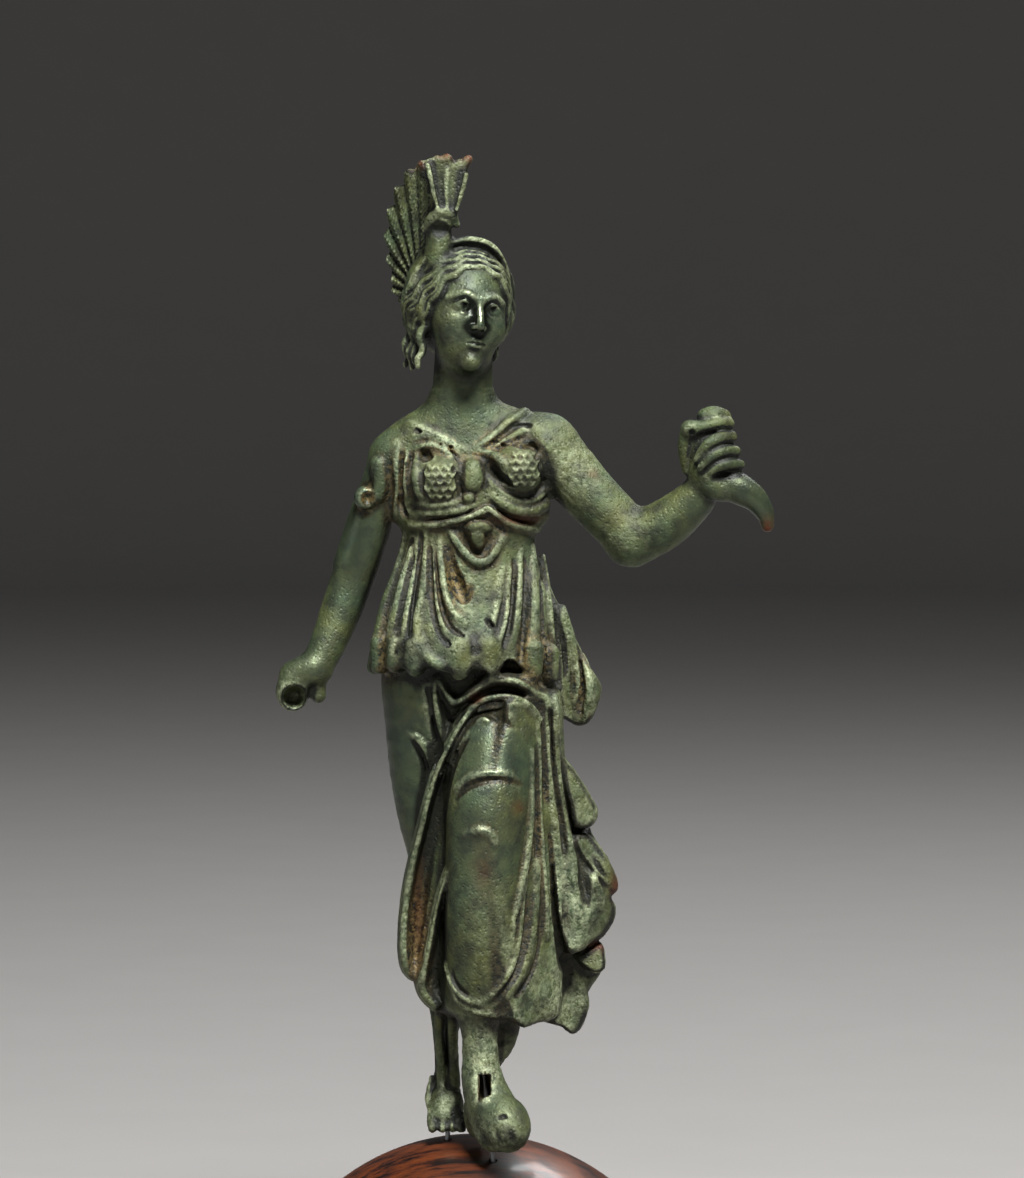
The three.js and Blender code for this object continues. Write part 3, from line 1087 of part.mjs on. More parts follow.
const group = new THREE.Group();
group.add(namedMesh('figure', geometryOf(figure), 0x4f6350, 0.55, 0.6));
group.add(namedMesh('ball_base', geometryOf(ball), 0x6b3018, 0.3, 0));
group.add(namedMesh('front_pin', frontPin(0), 0x8a8d90, 0.4, 1));
group.add(namedMesh('rear_pin', rearPin(0), 0x8a8d90, 0.4, 1));

export default group;
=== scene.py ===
# A small bronze figure of a striding, helmeted goddess on a turned wooden ball.
# Metres. The figure faces -Y and +Z is up.

import math
from itertools import product

import bpy
import numpy as np
from mathutils import Euler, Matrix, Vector, noise


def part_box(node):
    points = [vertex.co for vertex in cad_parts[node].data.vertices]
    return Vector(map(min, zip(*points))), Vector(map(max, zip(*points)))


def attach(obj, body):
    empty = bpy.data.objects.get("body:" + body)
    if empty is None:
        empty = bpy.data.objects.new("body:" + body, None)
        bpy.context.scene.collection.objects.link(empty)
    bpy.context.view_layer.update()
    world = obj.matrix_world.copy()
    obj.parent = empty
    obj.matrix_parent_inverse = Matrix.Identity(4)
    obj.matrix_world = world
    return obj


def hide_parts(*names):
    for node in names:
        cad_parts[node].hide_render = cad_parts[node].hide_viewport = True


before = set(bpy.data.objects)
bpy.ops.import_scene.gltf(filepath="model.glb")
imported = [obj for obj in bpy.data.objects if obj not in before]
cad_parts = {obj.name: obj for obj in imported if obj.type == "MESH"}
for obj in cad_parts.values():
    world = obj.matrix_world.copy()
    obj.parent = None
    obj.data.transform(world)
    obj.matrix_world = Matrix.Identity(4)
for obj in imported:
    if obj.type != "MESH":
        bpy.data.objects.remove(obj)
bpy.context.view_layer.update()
print("frame loaded")

# The figure is carved in thousandths of its height: x to the viewer's right, y to the back,
# z up from the foot of the front pin. The frame's own box gives the size of one share.
carving = {
    "crestTop": 1006.1,      # highest point of the crest, in shares
    "soleLow": 12.2,         # lowest point of the front foot, in shares
    "cell": 0.34,            # millimetres between samples on broad drapery
    "fineCell": 0.22,        # and on the head, crest and raised fist
    "triangles": 192000,     # kept after thinning
    "grit": 0.75,            # height of the corroded skin's grain, in shares
    "room": 9,               # sampled round the forms, in shares
    "fineSpans": [[[-92, 52], [205, 305]], [[-62, 62]], [[640, 1010]]],  # in x, y and z, in shares
    "probes": (5, 14),       # how far off hollows and edges are felt for, in shares
}

figureLow, figureHigh = [Vector(corner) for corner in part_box("figure")]
share = (figureHigh.z - figureLow.z) / (carving["crestTop"] - carving["soleLow"])
figureZ = figureHigh.z - carving["crestTop"] * share
mm = 0.001
far = 1000.0         # the field's value where nothing is near
waveRoom = 8         # left in front of and behind a sheet for its waves, in shares


# Distance fields, in shares. A form is a function of x, y, z with the box that it acts in,
# and it adds to or cuts from what is there with a soft edge.

def softMin(a, b, k):
    h = np.maximum(k - np.abs(a - b), 0) / k
    return np.minimum(a, b) - h * h * (k / 4)


def softMax(a, b, k):
    h = np.maximum(k - np.abs(a - b), 0) / k
    return np.maximum(a, b) + h * h * (k / 4)


def smoothLine(points, steps):
    p = np.array(points, float)
    ends = np.vstack([p[:1], p, p[-1:]])
    line = []
    for i in range(len(p) - 1):
        a, b, c, d = ends[i:i + 4]
        for t in np.arange(steps) / steps:
            line.append(0.5 * (2 * b + (c - a) * t + (2 * a - 5 * b + 4 * c - d) * t ** 2
                               + (3 * b - a - 3 * c + d) * t ** 3))
    return np.vstack(line + [p[-1:]])


def form(distance, low, high, blend, cut=False):
    return {"distance": distance, "low": np.array(low, float), "high": np.array(high, float),
            "blend": blend, "cut": cut}


def chain(points, blend=8, steps=4, cut=False):  # a rounded limb, lock or fold
    line = smoothLine(points, steps) if len(points) > 2 else np.array(points, float)
    a, b = line[:-1], line[1:]
    step = b[:, :3] - a[:, :3]
    inverse = 1 / ((step ** 2).sum(1) + 1e-9)
    radius = np.maximum(a[:, 3], b[:, 3])[:, None]
    segLow = np.minimum(a[:, :3], b[:, :3]) - radius
    segHigh = np.maximum(a[:, :3], b[:, :3]) + radius

    def distance(x, y, z, near=None):
        use = range(len(a))
        if near is not None:
            low, high = near[0] - blend, near[1] + blend
            use = np.nonzero(((segLow < high) & (segHigh > low)).all(1))[0]
        best = None
        for i in use:
            px, py, pz = x - a[i, 0], y - a[i, 1], z - a[i, 2]
            t = np.clip((px * step[i, 0] + py * step[i, 1] + pz * step[i, 2]) * inverse[i], 0, 1)
            away = np.sqrt((px - t * step[i, 0]) ** 2 + (py - t * step[i, 1]) ** 2
                           + (pz - t * step[i, 2]) ** 2)
            value = away - (a[i, 3] + t * (b[i, 3] - a[i, 3]))
            best = value if best is None else np.minimum(best, value)
        return best

    return form(distance, segLow.min(0), segHigh.max(0), blend, cut)


def egg(center, half, blend=8, cut=False):
    def distance(x, y, z, near=None):
        ax, ay, az = (x - center[0]) / half[0], (y - center[1]) / half[1], (z - center[2]) / half[2]
        k0 = np.sqrt(ax ** 2 + ay ** 2 + az ** 2)
        k1 = np.sqrt((ax / half[0]) ** 2 + (ay / half[1]) ** 2 + (az / half[2]) ** 2)
        return k0 * (k0 - 1) / np.maximum(k1, 1e-6)

    return form(distance, np.subtract(center, half), np.add(center, half), blend, cut)


def loft(sections, blend=10, roundEdge=6, folds=None, reach=0):  # [z, middle x, y, half width, half depth]
    rows = np.array(sorted(sections), float)
    levels = np.arange(rows[0, 0], rows[-1, 0] + 1)
    smooth = smoothLine(rows, 8)
    table = [np.interp(levels, smooth[:, 0], smooth[:, i]) for i in range(1, 5)]

    def distance(x, y, z, near=None):
        midX, midY, halfX, halfY = [np.interp(z, levels, column) for column in table]
        dx, dy = (x - midX) / halfX, (y - midY) / halfY
        k0 = np.sqrt(dx ** 2 + dy ** 2)
        side = k0 * (k0 - 1) / np.maximum(np.sqrt((dx / halfX) ** 2 + (dy / halfY) ** 2), 1e-6)
        if folds:
            side = side - folds(np.arctan2(dx, -dy), z)
        return softMax(side, np.maximum(z - rows[-1, 0], rows[0, 0] - z), roundEdge)

    wide = rows[:, 3:].max() + reach
    low = [rows[:, 1].min() - wide, rows[:, 2].min() - wide, rows[0, 0]]
    high = [rows[:, 1].max() + wide, rows[:, 2].max() + wide, rows[-1, 0]]
    return form(distance, low, high, blend)


def sheet(outline, middle, halfThick, blend=8, roundEdge=8, steps=2):  # hanging cloth with an [x, z] outline
    closed = list(outline) + [outline[0]]
    line = smoothLine(closed, steps)
    edges = list(zip(line[:-1], line[1:]))

    def distance(x, y, z, near=None):
        nearest, inside = far ** 2, False
        for (ax, az), (bx, bz) in edges:
            ex, ez = bx - ax, bz - az
            wx, wz = x - ax, z - az
            t = np.clip((wx * ex + wz * ez) / (ex * ex + ez * ez + 1e-9), 0, 1)
            nearest = np.minimum(nearest, (wx - t * ex) ** 2 + (wz - t * ez) ** 2)
            crosses = ((az > z) != (bz > z)) & (x < ax + ex * (z - az) / (ez if abs(ez) > 1e-6 else 1e-6))
            inside = inside ^ crosses
        across = np.where(inside, -1, 1) * np.sqrt(nearest)
        return softMax(across, np.abs(y - middle(x, z)) - halfThick(x, z), roundEdge)

    xs, zs = line[:, 0], line[:, 1]
    low = [xs.min(), (middle(xs, zs) - halfThick(xs, zs)).min() - waveRoom, zs.min()]
    high = [xs.max(), (middle(xs, zs) + halfThick(xs, zs)).max() + waveRoom, zs.max()]
    return form(distance, low, high, blend)


cubeCorners = list(product((0, 1), repeat=3))


def placed(forms, origin, yaw, roll, pitch):  # forms written in a turned frame of their own
    turn = np.array(Euler([math.radians(a) for a in (pitch, roll, yaw)], "XYZ").to_matrix())
    origin = np.array(origin, float)

    def moved(one):
        box = (one["low"], one["high"])
        corners = np.array([[box[side][axis] for axis, side in enumerate(sides)] for sides in cubeCorners])
        corners = corners @ turn.T + origin

        def distance(x, y, z, near=None):
            px, py, pz = x - origin[0], y - origin[1], z - origin[2]
            local = [turn[0, i] * px + turn[1, i] * py + turn[2, i] * pz for i in range(3)]
            if near is not None:
                middle = (near[0] + near[1]) / 2
                reach = np.linalg.norm(near[1] - near[0]) / 2
                middle = (middle - origin) @ turn
                near = (middle - reach, middle + reach)
            return one["distance"](*local, near)

        return {**one, "distance": distance, "low": corners.min(0), "high": corners.max(0)}

    return [moved(one) for one in forms]


def fieldAt(forms, x, y, z, near=None):
    d = None
    for one in forms:
        value = one["distance"](x, y, z, near)
        if value is None or (d is None and one["cut"]):
            continue
        if d is None:
            d = value
        elif one["cut"]:
            d = softMax(d, -value, one["blend"])
        else:
            d = softMin(d, value, one["blend"])
    return d


laying = {          # how strokes are laid on the figure, in shares
    "start": -170,       # from this far in front
    "missed": 120,       # a point that gets this far back has met nothing
    "steps": 70,
    "leastStep": 0.4,
    "stepShare": 0.7,    # of the distance left
    "touching": 0.3,
    "fade": 0.8,         # how deep the ends dive, in radii
    "fadeLength": 0.25,  # of the stroke, at each end
}


def layAll(forms, strokes):  # [x, z, radius] strokes dropped on the front of the figure
    lines = [smoothLine(stroke["points"], 4) for stroke in strokes]
    x, z = np.vstack(lines)[:, :2].T
    y = np.full(len(x), float(laying["start"]))
    for _ in range(laying["steps"]):
        d = fieldAt(forms, x, y, z)
        ahead = np.maximum(d * laying["stepShare"], laying["leastStep"])
        y = np.where(d > laying["touching"], y + ahead, y)
    met = y < laying["missed"]
    fade, fadeLength = laying["fade"], laying["fadeLength"]
    laid, start = [], 0
    for line, stroke in zip(lines, strokes):
        rows = np.arange(start, start + len(line))
        start += len(line)
        good = rows[met[rows]]
        if len(good):
            depth = np.interp(rows, good, y[good])
            along = np.arange(len(line)) / max(len(line) - 1, 1)
            dive = (fade * np.clip(1 - along / fadeLength, 0, 1)
                    + fade * np.clip(1 - (1 - along) / fadeLength, 0, 1))
            across, up, radius = line.T
            depth = depth + radius * (stroke["sink"] + (-dive if stroke["cut"] else dive))
            laid.append(chain(np.column_stack([across, depth, up, radius]), stroke["blend"], 1,
                              stroke["cut"]))
    return laid


def ridge(*points, blend=4, sink=0.1, cut=False):
    return {"points": points, "blend": blend, "sink": sink, "cut": cut}


def groove(*points, blend=3, sink=0.0):
    return ridge(*points, blend=blend, sink=sink, cut=True)


def clipped(one, point, normal, blend=3):  # keeps the part of a form behind a plane
    normal = np.array(normal, float) / np.linalg.norm(normal)

    def distance(x, y, z, near=None):
        side = (x - point[0]) * normal[0] + (y - point[1]) * normal[1] + (z - point[2]) * normal[2]
        return softMax(one["distance"](x, y, z, near), side, blend)

    return {**one, "distance": distance}


def stack(points, copies, back, grow, blend=4, cut=False):  # a standing wall of cloth, or a deep channel
    return [chain([[x, y + i * back, z, r + i * grow] for x, y, z, r in points], blend, 4, cut)
            for i in range(copies)]


def between(first, last, count):  # evenly spread lines from one line to another
    first, last = np.array(first, float), np.array(last, float)
    return [(first + (last - first) * t).tolist() for t in np.linspace(0, 1, count)]


# Body and dress, from the neck to the hem

def backFolds(count, depth, top, bottom, phase):  # vertical folds round the back, deeper towards the hem
    def folds(angle, z):
        down = np.clip((top - z) / (top - bottom), 0, 1)
        back = np.clip((np.abs(angle) - 1.3) / 0.6, 0, 1)
        back = back * back * (3 - 2 * back)
        return back * depth * (0.25 + 0.75 * down) * np.cos(count * angle + phase + 0.9 * down)
    return folds


chestSections = [
    [757, -14, 12, 24, 22], [745, -14, 11, 44, 25], [732, -12, 8, 64, 29], [712, -8, 5, 76, 35],
    [690, -5, 2, 79, 40], [665, -4, 0, 78, 42], [640, -4, 0, 78, 41], [624, -6, 1, 66, 37],
    [600, -7, 1, 62, 36],
]
overfoldSections = [
    [640, -5, 0, 68, 40], [615, -6, 0, 65, 40], [590, -8, 0, 71, 44], [560, -9, -1, 81, 51],
    [525, -12, -2, 88, 60], [494, -13, -3, 90, 66],
]
skirtSections = [
    [510, -6, 2, 80, 46], [470, -6, 4, 86, 48], [430, -5, 9, 80, 49], [390, -2, 14, 73, 49],
    [340, 1, 20, 64, 48], [300, 3, 26, 58, 46], [250, 5, 30, 57, 46], [200, 8, 34, 58, 46],
    [160, 10, 37, 57, 44], [126, 12, 38, 53, 40],
]
frontSkirtSections = [
    [446, 26, -22, 44, 42], [420, 20, -32, 45, 48], [380, 15, -42, 44, 51], [330, 11, -46, 40, 56],
    [280, 8, -44, 38, 56], [220, 7, -40, 38, 53], [180, 8, -38, 40, 49], [158, 10, -36, 43, 47],
    [141, 12, -34, 42, 44],
]
body = [
    loft(chestSections, 8, 8, backFolds(13, 2.6, 750, 640, 0), 3),
    chain([[-5, 10, 746, 20], [42, 8, 722, 28], [72, 6, 713, 31]], 14),
    chain([[-28, 10, 744, 20], [-60, 9, 717, 27], [-79, 9, 701, 27]], 14),
    egg([-36, -28, 679], [27, 24, 27], 9),
    egg([42, -28, 690], [26, 24, 26], 9),
    chain([[-15, 14, 730, 36], [-13, 9, 762, 31], [-12, 4, 800, 29]], 16),
]
overfold = loft(overfoldSections, 6, 7, backFolds(12, 5, 620, 500, 0.6), 6)
skirt = loft(skirtSections, 6, 9, backFolds(10, 8, 480, 150, 0.2), 9)
frontSkirt = loft(frontSkirtSections, 10, 12)
backLeg = chain([[-47, 2, 478, 47], [-52, 6, 400, 36.5], [-49, 12, 345, 31], [-40, 22, 290, 27],
                 [-36, 34, 200, 20], [-31, 18, 130, 14], [-30, 10, 100, 12], [-29, 8, 80, 12]], 10)
frontLeg = chain([[26, -18, 428, 41], [19, -44, 400, 41], [12, -66, 350, 37], [9, -68, 310, 34.5],
                  [7, -62, 240, 34], [6, -58, 185, 28], [4, -56, 138, 18]], 10)

# Windblown cloth beside the legs, and the end of the mantle behind
flareOutline = [
    [60, 470], [84, 465], [88, 430], [88, 400], [98, 380], [110, 352], [114, 330], [122, 312], [134, 295],
    [142, 276], [143, 262], [137, 255], [141, 246], [138, 232], [120, 214], [112, 204], [124, 196],
    [131, 184],
    [124, 172], [114, 158], [116, 149], [113, 135], [106, 119], [96, 116], [88, 124], [70, 130], [62, 133],
    [40, 134], [30, 200], [30, 300], [40, 400],
]
upperLobeOutline = [[86, 399], [92, 397], [105, 379], [118, 357], [124, 346], [121, 334], [112, 328],
                    [99, 331],
                    [95, 350], [88, 372]]
middleLobeOutline = [[88, 330], [101, 322], [112, 322], [122, 313], [135, 294], [143, 276], [144, 263],
                     [137, 256],
                     [142, 247], [140, 232], [130, 217], [116, 206], [99, 201], [87, 205], [84, 240],
                     [83, 290]]
lowLobeOutline = [[99, 199], [112, 203], [127, 211], [131, 197], [131, 185], [122, 179], [108, 186]]
leftSheetOutline = [
    [-14, 425], [-30, 405], [-40, 375], [-50, 340], [-58, 310], [-66, 288], [-70, 260], [-73, 230],
    [-74, 210],
    [-72, 193], [-67, 178], [-58, 174], [-53, 160], [-44, 150], [-32, 142], [-10, 146], [0, 200],
    [5, 300], [5, 400],
]
mantleOutline = [
    [50, 610], [63, 600], [80, 560], [92, 540], [100, 520], [115, 490], [125, 475], [128, 463], [122, 445],
    [115, 432], [105, 428], [97, 431], [87, 440], [60, 470], [45, 540],
]
sideOutline = [[30, 460], [60, 468], [82, 462], [88, 430], [88, 398], [92, 360], [96, 320], [94, 270],
               [92, 220],
               [88, 180], [84, 140], [60, 134], [40, 136], [30, 200], [28, 330]]
cloth = [
    sheet(sideOutline, lambda x, z: -58 + 0.9 * (x - 45) + 0.05 * np.maximum(z - 330, 0),
          lambda x, z: 14 + 0 * x, 12, 12),
    sheet(flareOutline, lambda x, z: -12 + 0.42 * (x - 40) + 4 * np.sin((x + 0.25 * z) / 6.5),
          lambda x, z: 19 - 0.1 * (x - 30), 8, 10),
    sheet(upperLobeOutline, lambda x, z: -18 + 0.34 * (x - 90), lambda x, z: 15 + 0 * x, 4, 9),
    sheet(middleLobeOutline, lambda x, z: -16 + 0.36 * (x - 90) - 3 * np.sin((x - 0.35 * (z - 200)) / 7),
          lambda x, z: 16 - 0.08 * (x - 90), 4, 11),
    sheet(lowLobeOutline, lambda x, z: 2 + 0 * x, lambda x, z: 13 + 0 * x, 3, 6),
    sheet(leftSheetOutline, lambda x, z: -22 - 0.35 * (x + 40), lambda x, z: 13 + 0 * x, 8, 8),
    sheet(mantleOutline, lambda x, z: 14 + 0.18 * (x - 60) + 4 * np.sin(x / 5), lambda x, z: 10 + 0 * x,
          6, 8),
]

# Edges of cloth that stand free, with deep channels beside them
hemEnds = [chain([[x, y, z + 22, r], [x, y, z, 0.85 * r]], 10) for x, y, z, r in (
    (-97, -26, 492, 9), (-80, -42, 494, 8), (-60, -54, 491, 9), (-14, -62, 490, 12), (14, -60, 492, 11),
    (58, -44, 488, 11), (76, -22, 483, 9))]
edges = [
    *stack([[-37, -44, 482, 2.5], [-29, -47, 468, 3], [-22, -50, 458, 3.5], [-13, -52, 460, 3.5],
            [-3, -56, 467, 3.5],
            [8, -58, 475, 4], [20, -59, 480, 4], [34, -59, 480, 4], [47, -57, 476, 4], [59, -50, 468, 4],
            [71, -44, 458, 4], [79, -38, 442, 4], [82, -34, 418, 3.5], [84, -30, 396, 3]], 3, 7, 1.5, 5),
    chain([[-3, -60, 452, 3], [10, -63, 461, 3.5], [26, -64, 464, 3.5], [42, -63, 462, 3.5],
           [56, -58, 454, 3.5],
           [66, -50, 440, 3]], 4),
    *stack([[-2, -60, 452, 3], [-14, -62, 436, 3], [-25, -61, 415, 3], [-36, -58, 392, 3], [-46, -54, 362, 3],
            [-54, -50, 330, 3], [-61, -47, 303, 3], [-66, -44, 278, 3.5], [-70, -41, 250, 3.5],
            [-72, -38, 215, 4], [-69, -34, 190, 5], [-62, -32, 181, 5]], 3, 8, 1.5, 4),
    *stack([[-27, -74, 288, 2.5], [-34, -68, 266, 2.5], [-40, -61, 240, 2.8], [-45, -56, 212, 3],
            [-50, -51, 190, 3.5], [-54, -46, 173, 4.5], [-49, -44, 161, 5], [-40, -43, 152, 5]], 3, 8,
            1.6, 4),
    *hemEnds,
]
channels = [
    *stack([[-8, -72, 424, 2.5], [-22, -70, 398, 5], [-33, -66, 366, 8], [-41, -60, 330, 8.5],
            [-49, -54, 290, 8],
            [-55, -48, 250, 8], [-59, -44, 215, 7], [-60, -42, 198, 6]], 3, 9, -1.2, 3, True),
    *stack([[-31, -76, 268, 2], [-35, -68, 240, 3.5], [-38, -60, 212, 5], [-41, -54, 186, 6],
            [-38, -50, 168, 5]],
           3, 8, -0.8, 3, True),
    *stack([[-31, -60, 478, 4], [-21, -60, 471, 6], [-6, -62, 480, 5], [10, -64, 488, 4]], 2, 8, -1, 3, True),
    *stack([[-36, -56, 462, 3], [-30, -56, 446, 5], [-22, -56, 440, 6], [-14, -58, 449, 3]], 3, 8, -1, 3,
           True),
    *stack([[-47, -52, 470, 2.5], [-42, -52, 440, 3.5], [-36, -52, 412, 4.5], [-36, -48, 388, 4]], 3, 8,
           -0.6, 3, True),
    *stack([[75, -44, 322, 2], [77, -42, 296, 3], [79, -40, 260, 4], [83, -36, 222, 5], [90, -30, 194, 8],
            [104, -22, 184, 7], [118, -16, 176, 5]], 3, 7, -0.7, 3, True),
    *stack([[100, -20, 203, 2.5], [112, -16, 206, 3], [126, -12, 212, 4]], 2, 7, 0, 2, True),
]

# Arms, the broken right hand, and the left fist on its curved remnant
arms = [
    chain([[-79, 9, 701, 27], [-92, 10, 672, 24], [-107, 12, 635, 22.8], [-121, 13, 591, 23.2]], 8),
    chain([[-107, 13, 625, 20], [-125, 13.5, 575, 22], [-138, 7, 540, 20.3], [-150, -2, 510, 18],
           [-160, -8, 492, 17]], 2),
    egg([-172, -10, 484], [25, 17, 16], 10),
    egg([-184, -14, 466], [17, 16, 20], 8),
    chain([[-160, -8, 480, 9], [-159, -11, 462, 8.5]], 4),
    egg([-182, -30, 460], [12.5, 24, 13], 2, True),
    egg([-166, -26, 452], [5, 20, 9], 2, True),
    chain([[-97, -12, 694, 9], [-95, -12, 678, 9], [-98, -12, 664, 8]], 4),
    egg([-110, -10, 661], [12, 11, 12.5], 4),
    egg([-108, -22, 661], [6, 7, 7.5], 2, True),
    chain([[-106, -22, 692, 2], [-105, -18, 682, 3], [-106, -16, 674, 2]], 2, 4, True),
    chain([[70, 6, 711, 32], [88, 4, 694, 30.5], [116, 0, 663, 28], [157, -5, 622, 26.5]], 10),
    chain([[158, -5, 618, 27], [190, -14, 634, 25], [215, -21, 654, 21.5], [230, -25, 672, 18]], 8),
    chain([[233, -30, 690, 20], [236, -26, 712, 24]], 8),
    chain([[213, -28, 690, 6], [211, -32, 712, 8], [216, -32, 729, 11]], 4),
    chain([[222, -50, 701, 4], [232, -54, 715, 6], [244, -50, 722, 6.5], [256, -36, 723, 6.5]], 2.5),
    chain([[226, -52, 693, 4], [236, -54, 704, 6], [248, -50, 709, 6.5], [260, -36, 708, 6.5]], 2.5),
    chain([[232, -50, 686, 4], [242, -52, 694, 5.5], [253, -48, 696, 6.5], [264, -36, 695, 6]], 2.5),
    chain([[216, -40, 731, 9], [230, -44, 733, 7], [244, -42, 736, 7], [254, -34, 736, 6]], 3),
    chain([[232, -34, 742, 10], [240, -34, 744, 10], [248, -28, 742, 9]], 3),
    egg([217, -52, 727], [3, 8, 4], 2, True),
    chain([[228, -40, 690, 9], [236, -40, 675, 12], [247, -38, 668, 10]], 5),
    chain([[248, -34, 678, 14], [262, -34, 672, 16], [280, -34, 661, 13], [291, -34, 645, 9],
           [293, -34, 634, 6.5]], 5),
]

# Feet: the front one flat on the ball, the rear one up on its toes
feet = [
    chain([[4, -56, 142, 18], [5, -58, 108, 18], [8, -64, 78, 21], [19, -80, 50, 25], [29, -94, 40, 26],
           [33, -104, 34, 22]], 8),
    egg([5, -48, 44], [17, 20, 27], 10),
    chain([[-6, -64, 84, 5], [-2, -72, 60, 7], [5, -84, 38, 9], [12, -96, 24, 9], [17, -102, 20, 8]], 6),
    chain([[10, -113, 51, 1.6], [20, -119, 50.5, 2], [30, -118, 49, 1.6]], 3, 4, True),
    chain([[20, -123, 36, 1.6], [26, -124, 24, 2]], 3, 4, True),
    chain([[36, -127, 34, 1.6], [41, -124, 24, 2]], 3, 4, True),
    chain([[-30, 24, 88, 8], [-31, 14, 66, 13], [-30, -2, 46, 18], [-30, -14, 36, 16]], 6),
    *[chain([[x, -16, 34, 6], [x, -30, 26, 5]], 3) for x in (-43, -33, -23, -14)],
    chain([[-44, 4, 72, 3], [-48, -4, 52, 3.5], [-43, -18, 36, 3]], 3),
    chain([[-34, -4, 74, 3], [-33, -16, 54, 3.5], [-32, -24, 40, 3]], 3),
    chain([[30, -34, 140, 17], [27, -38, 116, 14], [20, -44, 98, 9]], 5),
    chain([[-35, -24, 150, 6], [-36, -12, 118, 5.5], [-34, -4, 90, 5.5], [-33, -2, 66, 7]], 2),
    chain([[-22, -30, 150, 6.5], [-23, -16, 118, 5.5], [-22, -6, 90, 5.5], [-22, -4, 66, 7]], 2),
]


# Head, hair, helmet and crest, in the head's own frame: face to -y, eyes at height 0
headPlace = {"origin": [-10, -6, 846], "yaw": 20, "roll": 8, "pitch": -6}


def bothSides(make):
    return [make(-1), make(1)]


face = [
    egg([0, 8, 14], [40, 47, 48], 4),
    egg([0, -7, -9], [36, 35, 44], 12),
    egg([0, -13, -36], [24, 23, 24], 12),
    egg([0, -32, -53], [9, 8, 8], 9),
    *bothSides(lambda s: egg([s * 21, -23, -16], [13, 13, 15], 10)),
    *bothSides(lambda s: egg([s * 16, -47, 2], [13.5, 12.5, 9.5], 5, True)),
    *bothSides(lambda s: egg([s * 16, -29.5, 0.5], [11.5, 9.5, 8.5], 1)),
    *bothSides(lambda s: chain([[s * 6, -34.5, -0.5, 1.5], [s * 15.5, -40, 7, 1.8],
                                [s * 27, -30.5, 1, 1.5]], 1.2)),
    *bothSides(lambda s: chain([[s * 6.5, -34.5, -1, 1.3], [s * 15.5, -38.4, -6, 1.5],
                                [s * 26, -30.5, -0.5, 1.3]], 1.2)),
    *bothSides(lambda s: chain([[s * 4, -39.5, 9.5, 3], [s * 15, -38.5, 14.5, 3.2],
                                [s * 29, -27, 10.5, 2.6]], 5)),
    *bothSides(lambda s: egg([s * 15.5, -39.2, 0.8], [2.2, 1.5, 2.4], 1, True)),
    chain([[0, -39, 11, 3.2], [0, -42.5, -1, 3.3], [0, -47, -12.5, 3.9], [0, -47.6, -17.5, 4.3]], 4),
    *bothSides(lambda s: egg([s * 5.2, -42.4, -18.8], [3.3, 5, 3.2], 2.5)),
    *bothSides(lambda s: egg([s * 3.1, -45, -22], [1.3, 2.3, 1.1], 1, True)),
    chain([[-11.5, -34, -33, 1.1], [-4, -38.6, -31, 2.1], [0, -39, -31.7, 2], [4, -38.6, -31, 2.1],
           [11.5, -34, -33, 1.1]], 1.5),
    chain([[-9.5, -34.8, -35.8, 1.3], [0, -38.2, -37, 2.7], [9.5, -34.8, -35.8, 1.3]], 1.5),
    chain([[-11.5, -35.6, -33.8, 0.6], [0, -41.2, -34, 1], [11.5, -35.6, -33.8, 0.6]], 0.8, 4, True),
    egg([0, -45, -43.5], [8, 5, 3], 5, True),
]
hairMass = [egg([0, 24, 8], [54, 42, 49], 3), egg([0, 15, 20], [44, 46, 48], 4),
            egg([0, 60, -18], [22, 15, 18], 6)]
helmetPlane = {"point": [0, 0, 72], "normal": [0, -0.95, -0.31]}
helmet = [
    clipped(egg([1, 24, 24], [57, 50, 52], 2), helmetPlane["point"], helmetPlane["normal"]),
    chain([[-55, 26, 2, 2.6], [-54, 17, 26, 2.8], [-42, 5, 54, 3], [-20, -5, 70, 3.4], [2, -9, 74, 3.6],
           [22, -8, 68, 3.4], [39, 2, 51, 3.2], [50, 16, 24, 3], [50, 28, -6, 2.6]], 2),
    chain([[-52, 26, 6, 5], [-40, 14, 48, 6], [-20, 5, 64, 7], [2, 1, 68, 8], [20, 2, 62, 7], [36, 12, 46, 6],
           [45, 26, 12, 5]], 3),
    chain([[-36, 10, 60, 9], [-22, 8, 70, 8]], 4),
]
hair = {
    "center": np.array([0, 10, 6]),  # the locks wind round this point
    "start": 110,                    # they come from this far out, in shares
    "steps": 40,
    "sway": 2.6,                     # degrees to each side of their line
    "swell": (0.75, 0.25),           # share of their radius, and what comes and goes along the lock
    "marking": 1.5,                  # radius of the line cut along each
}


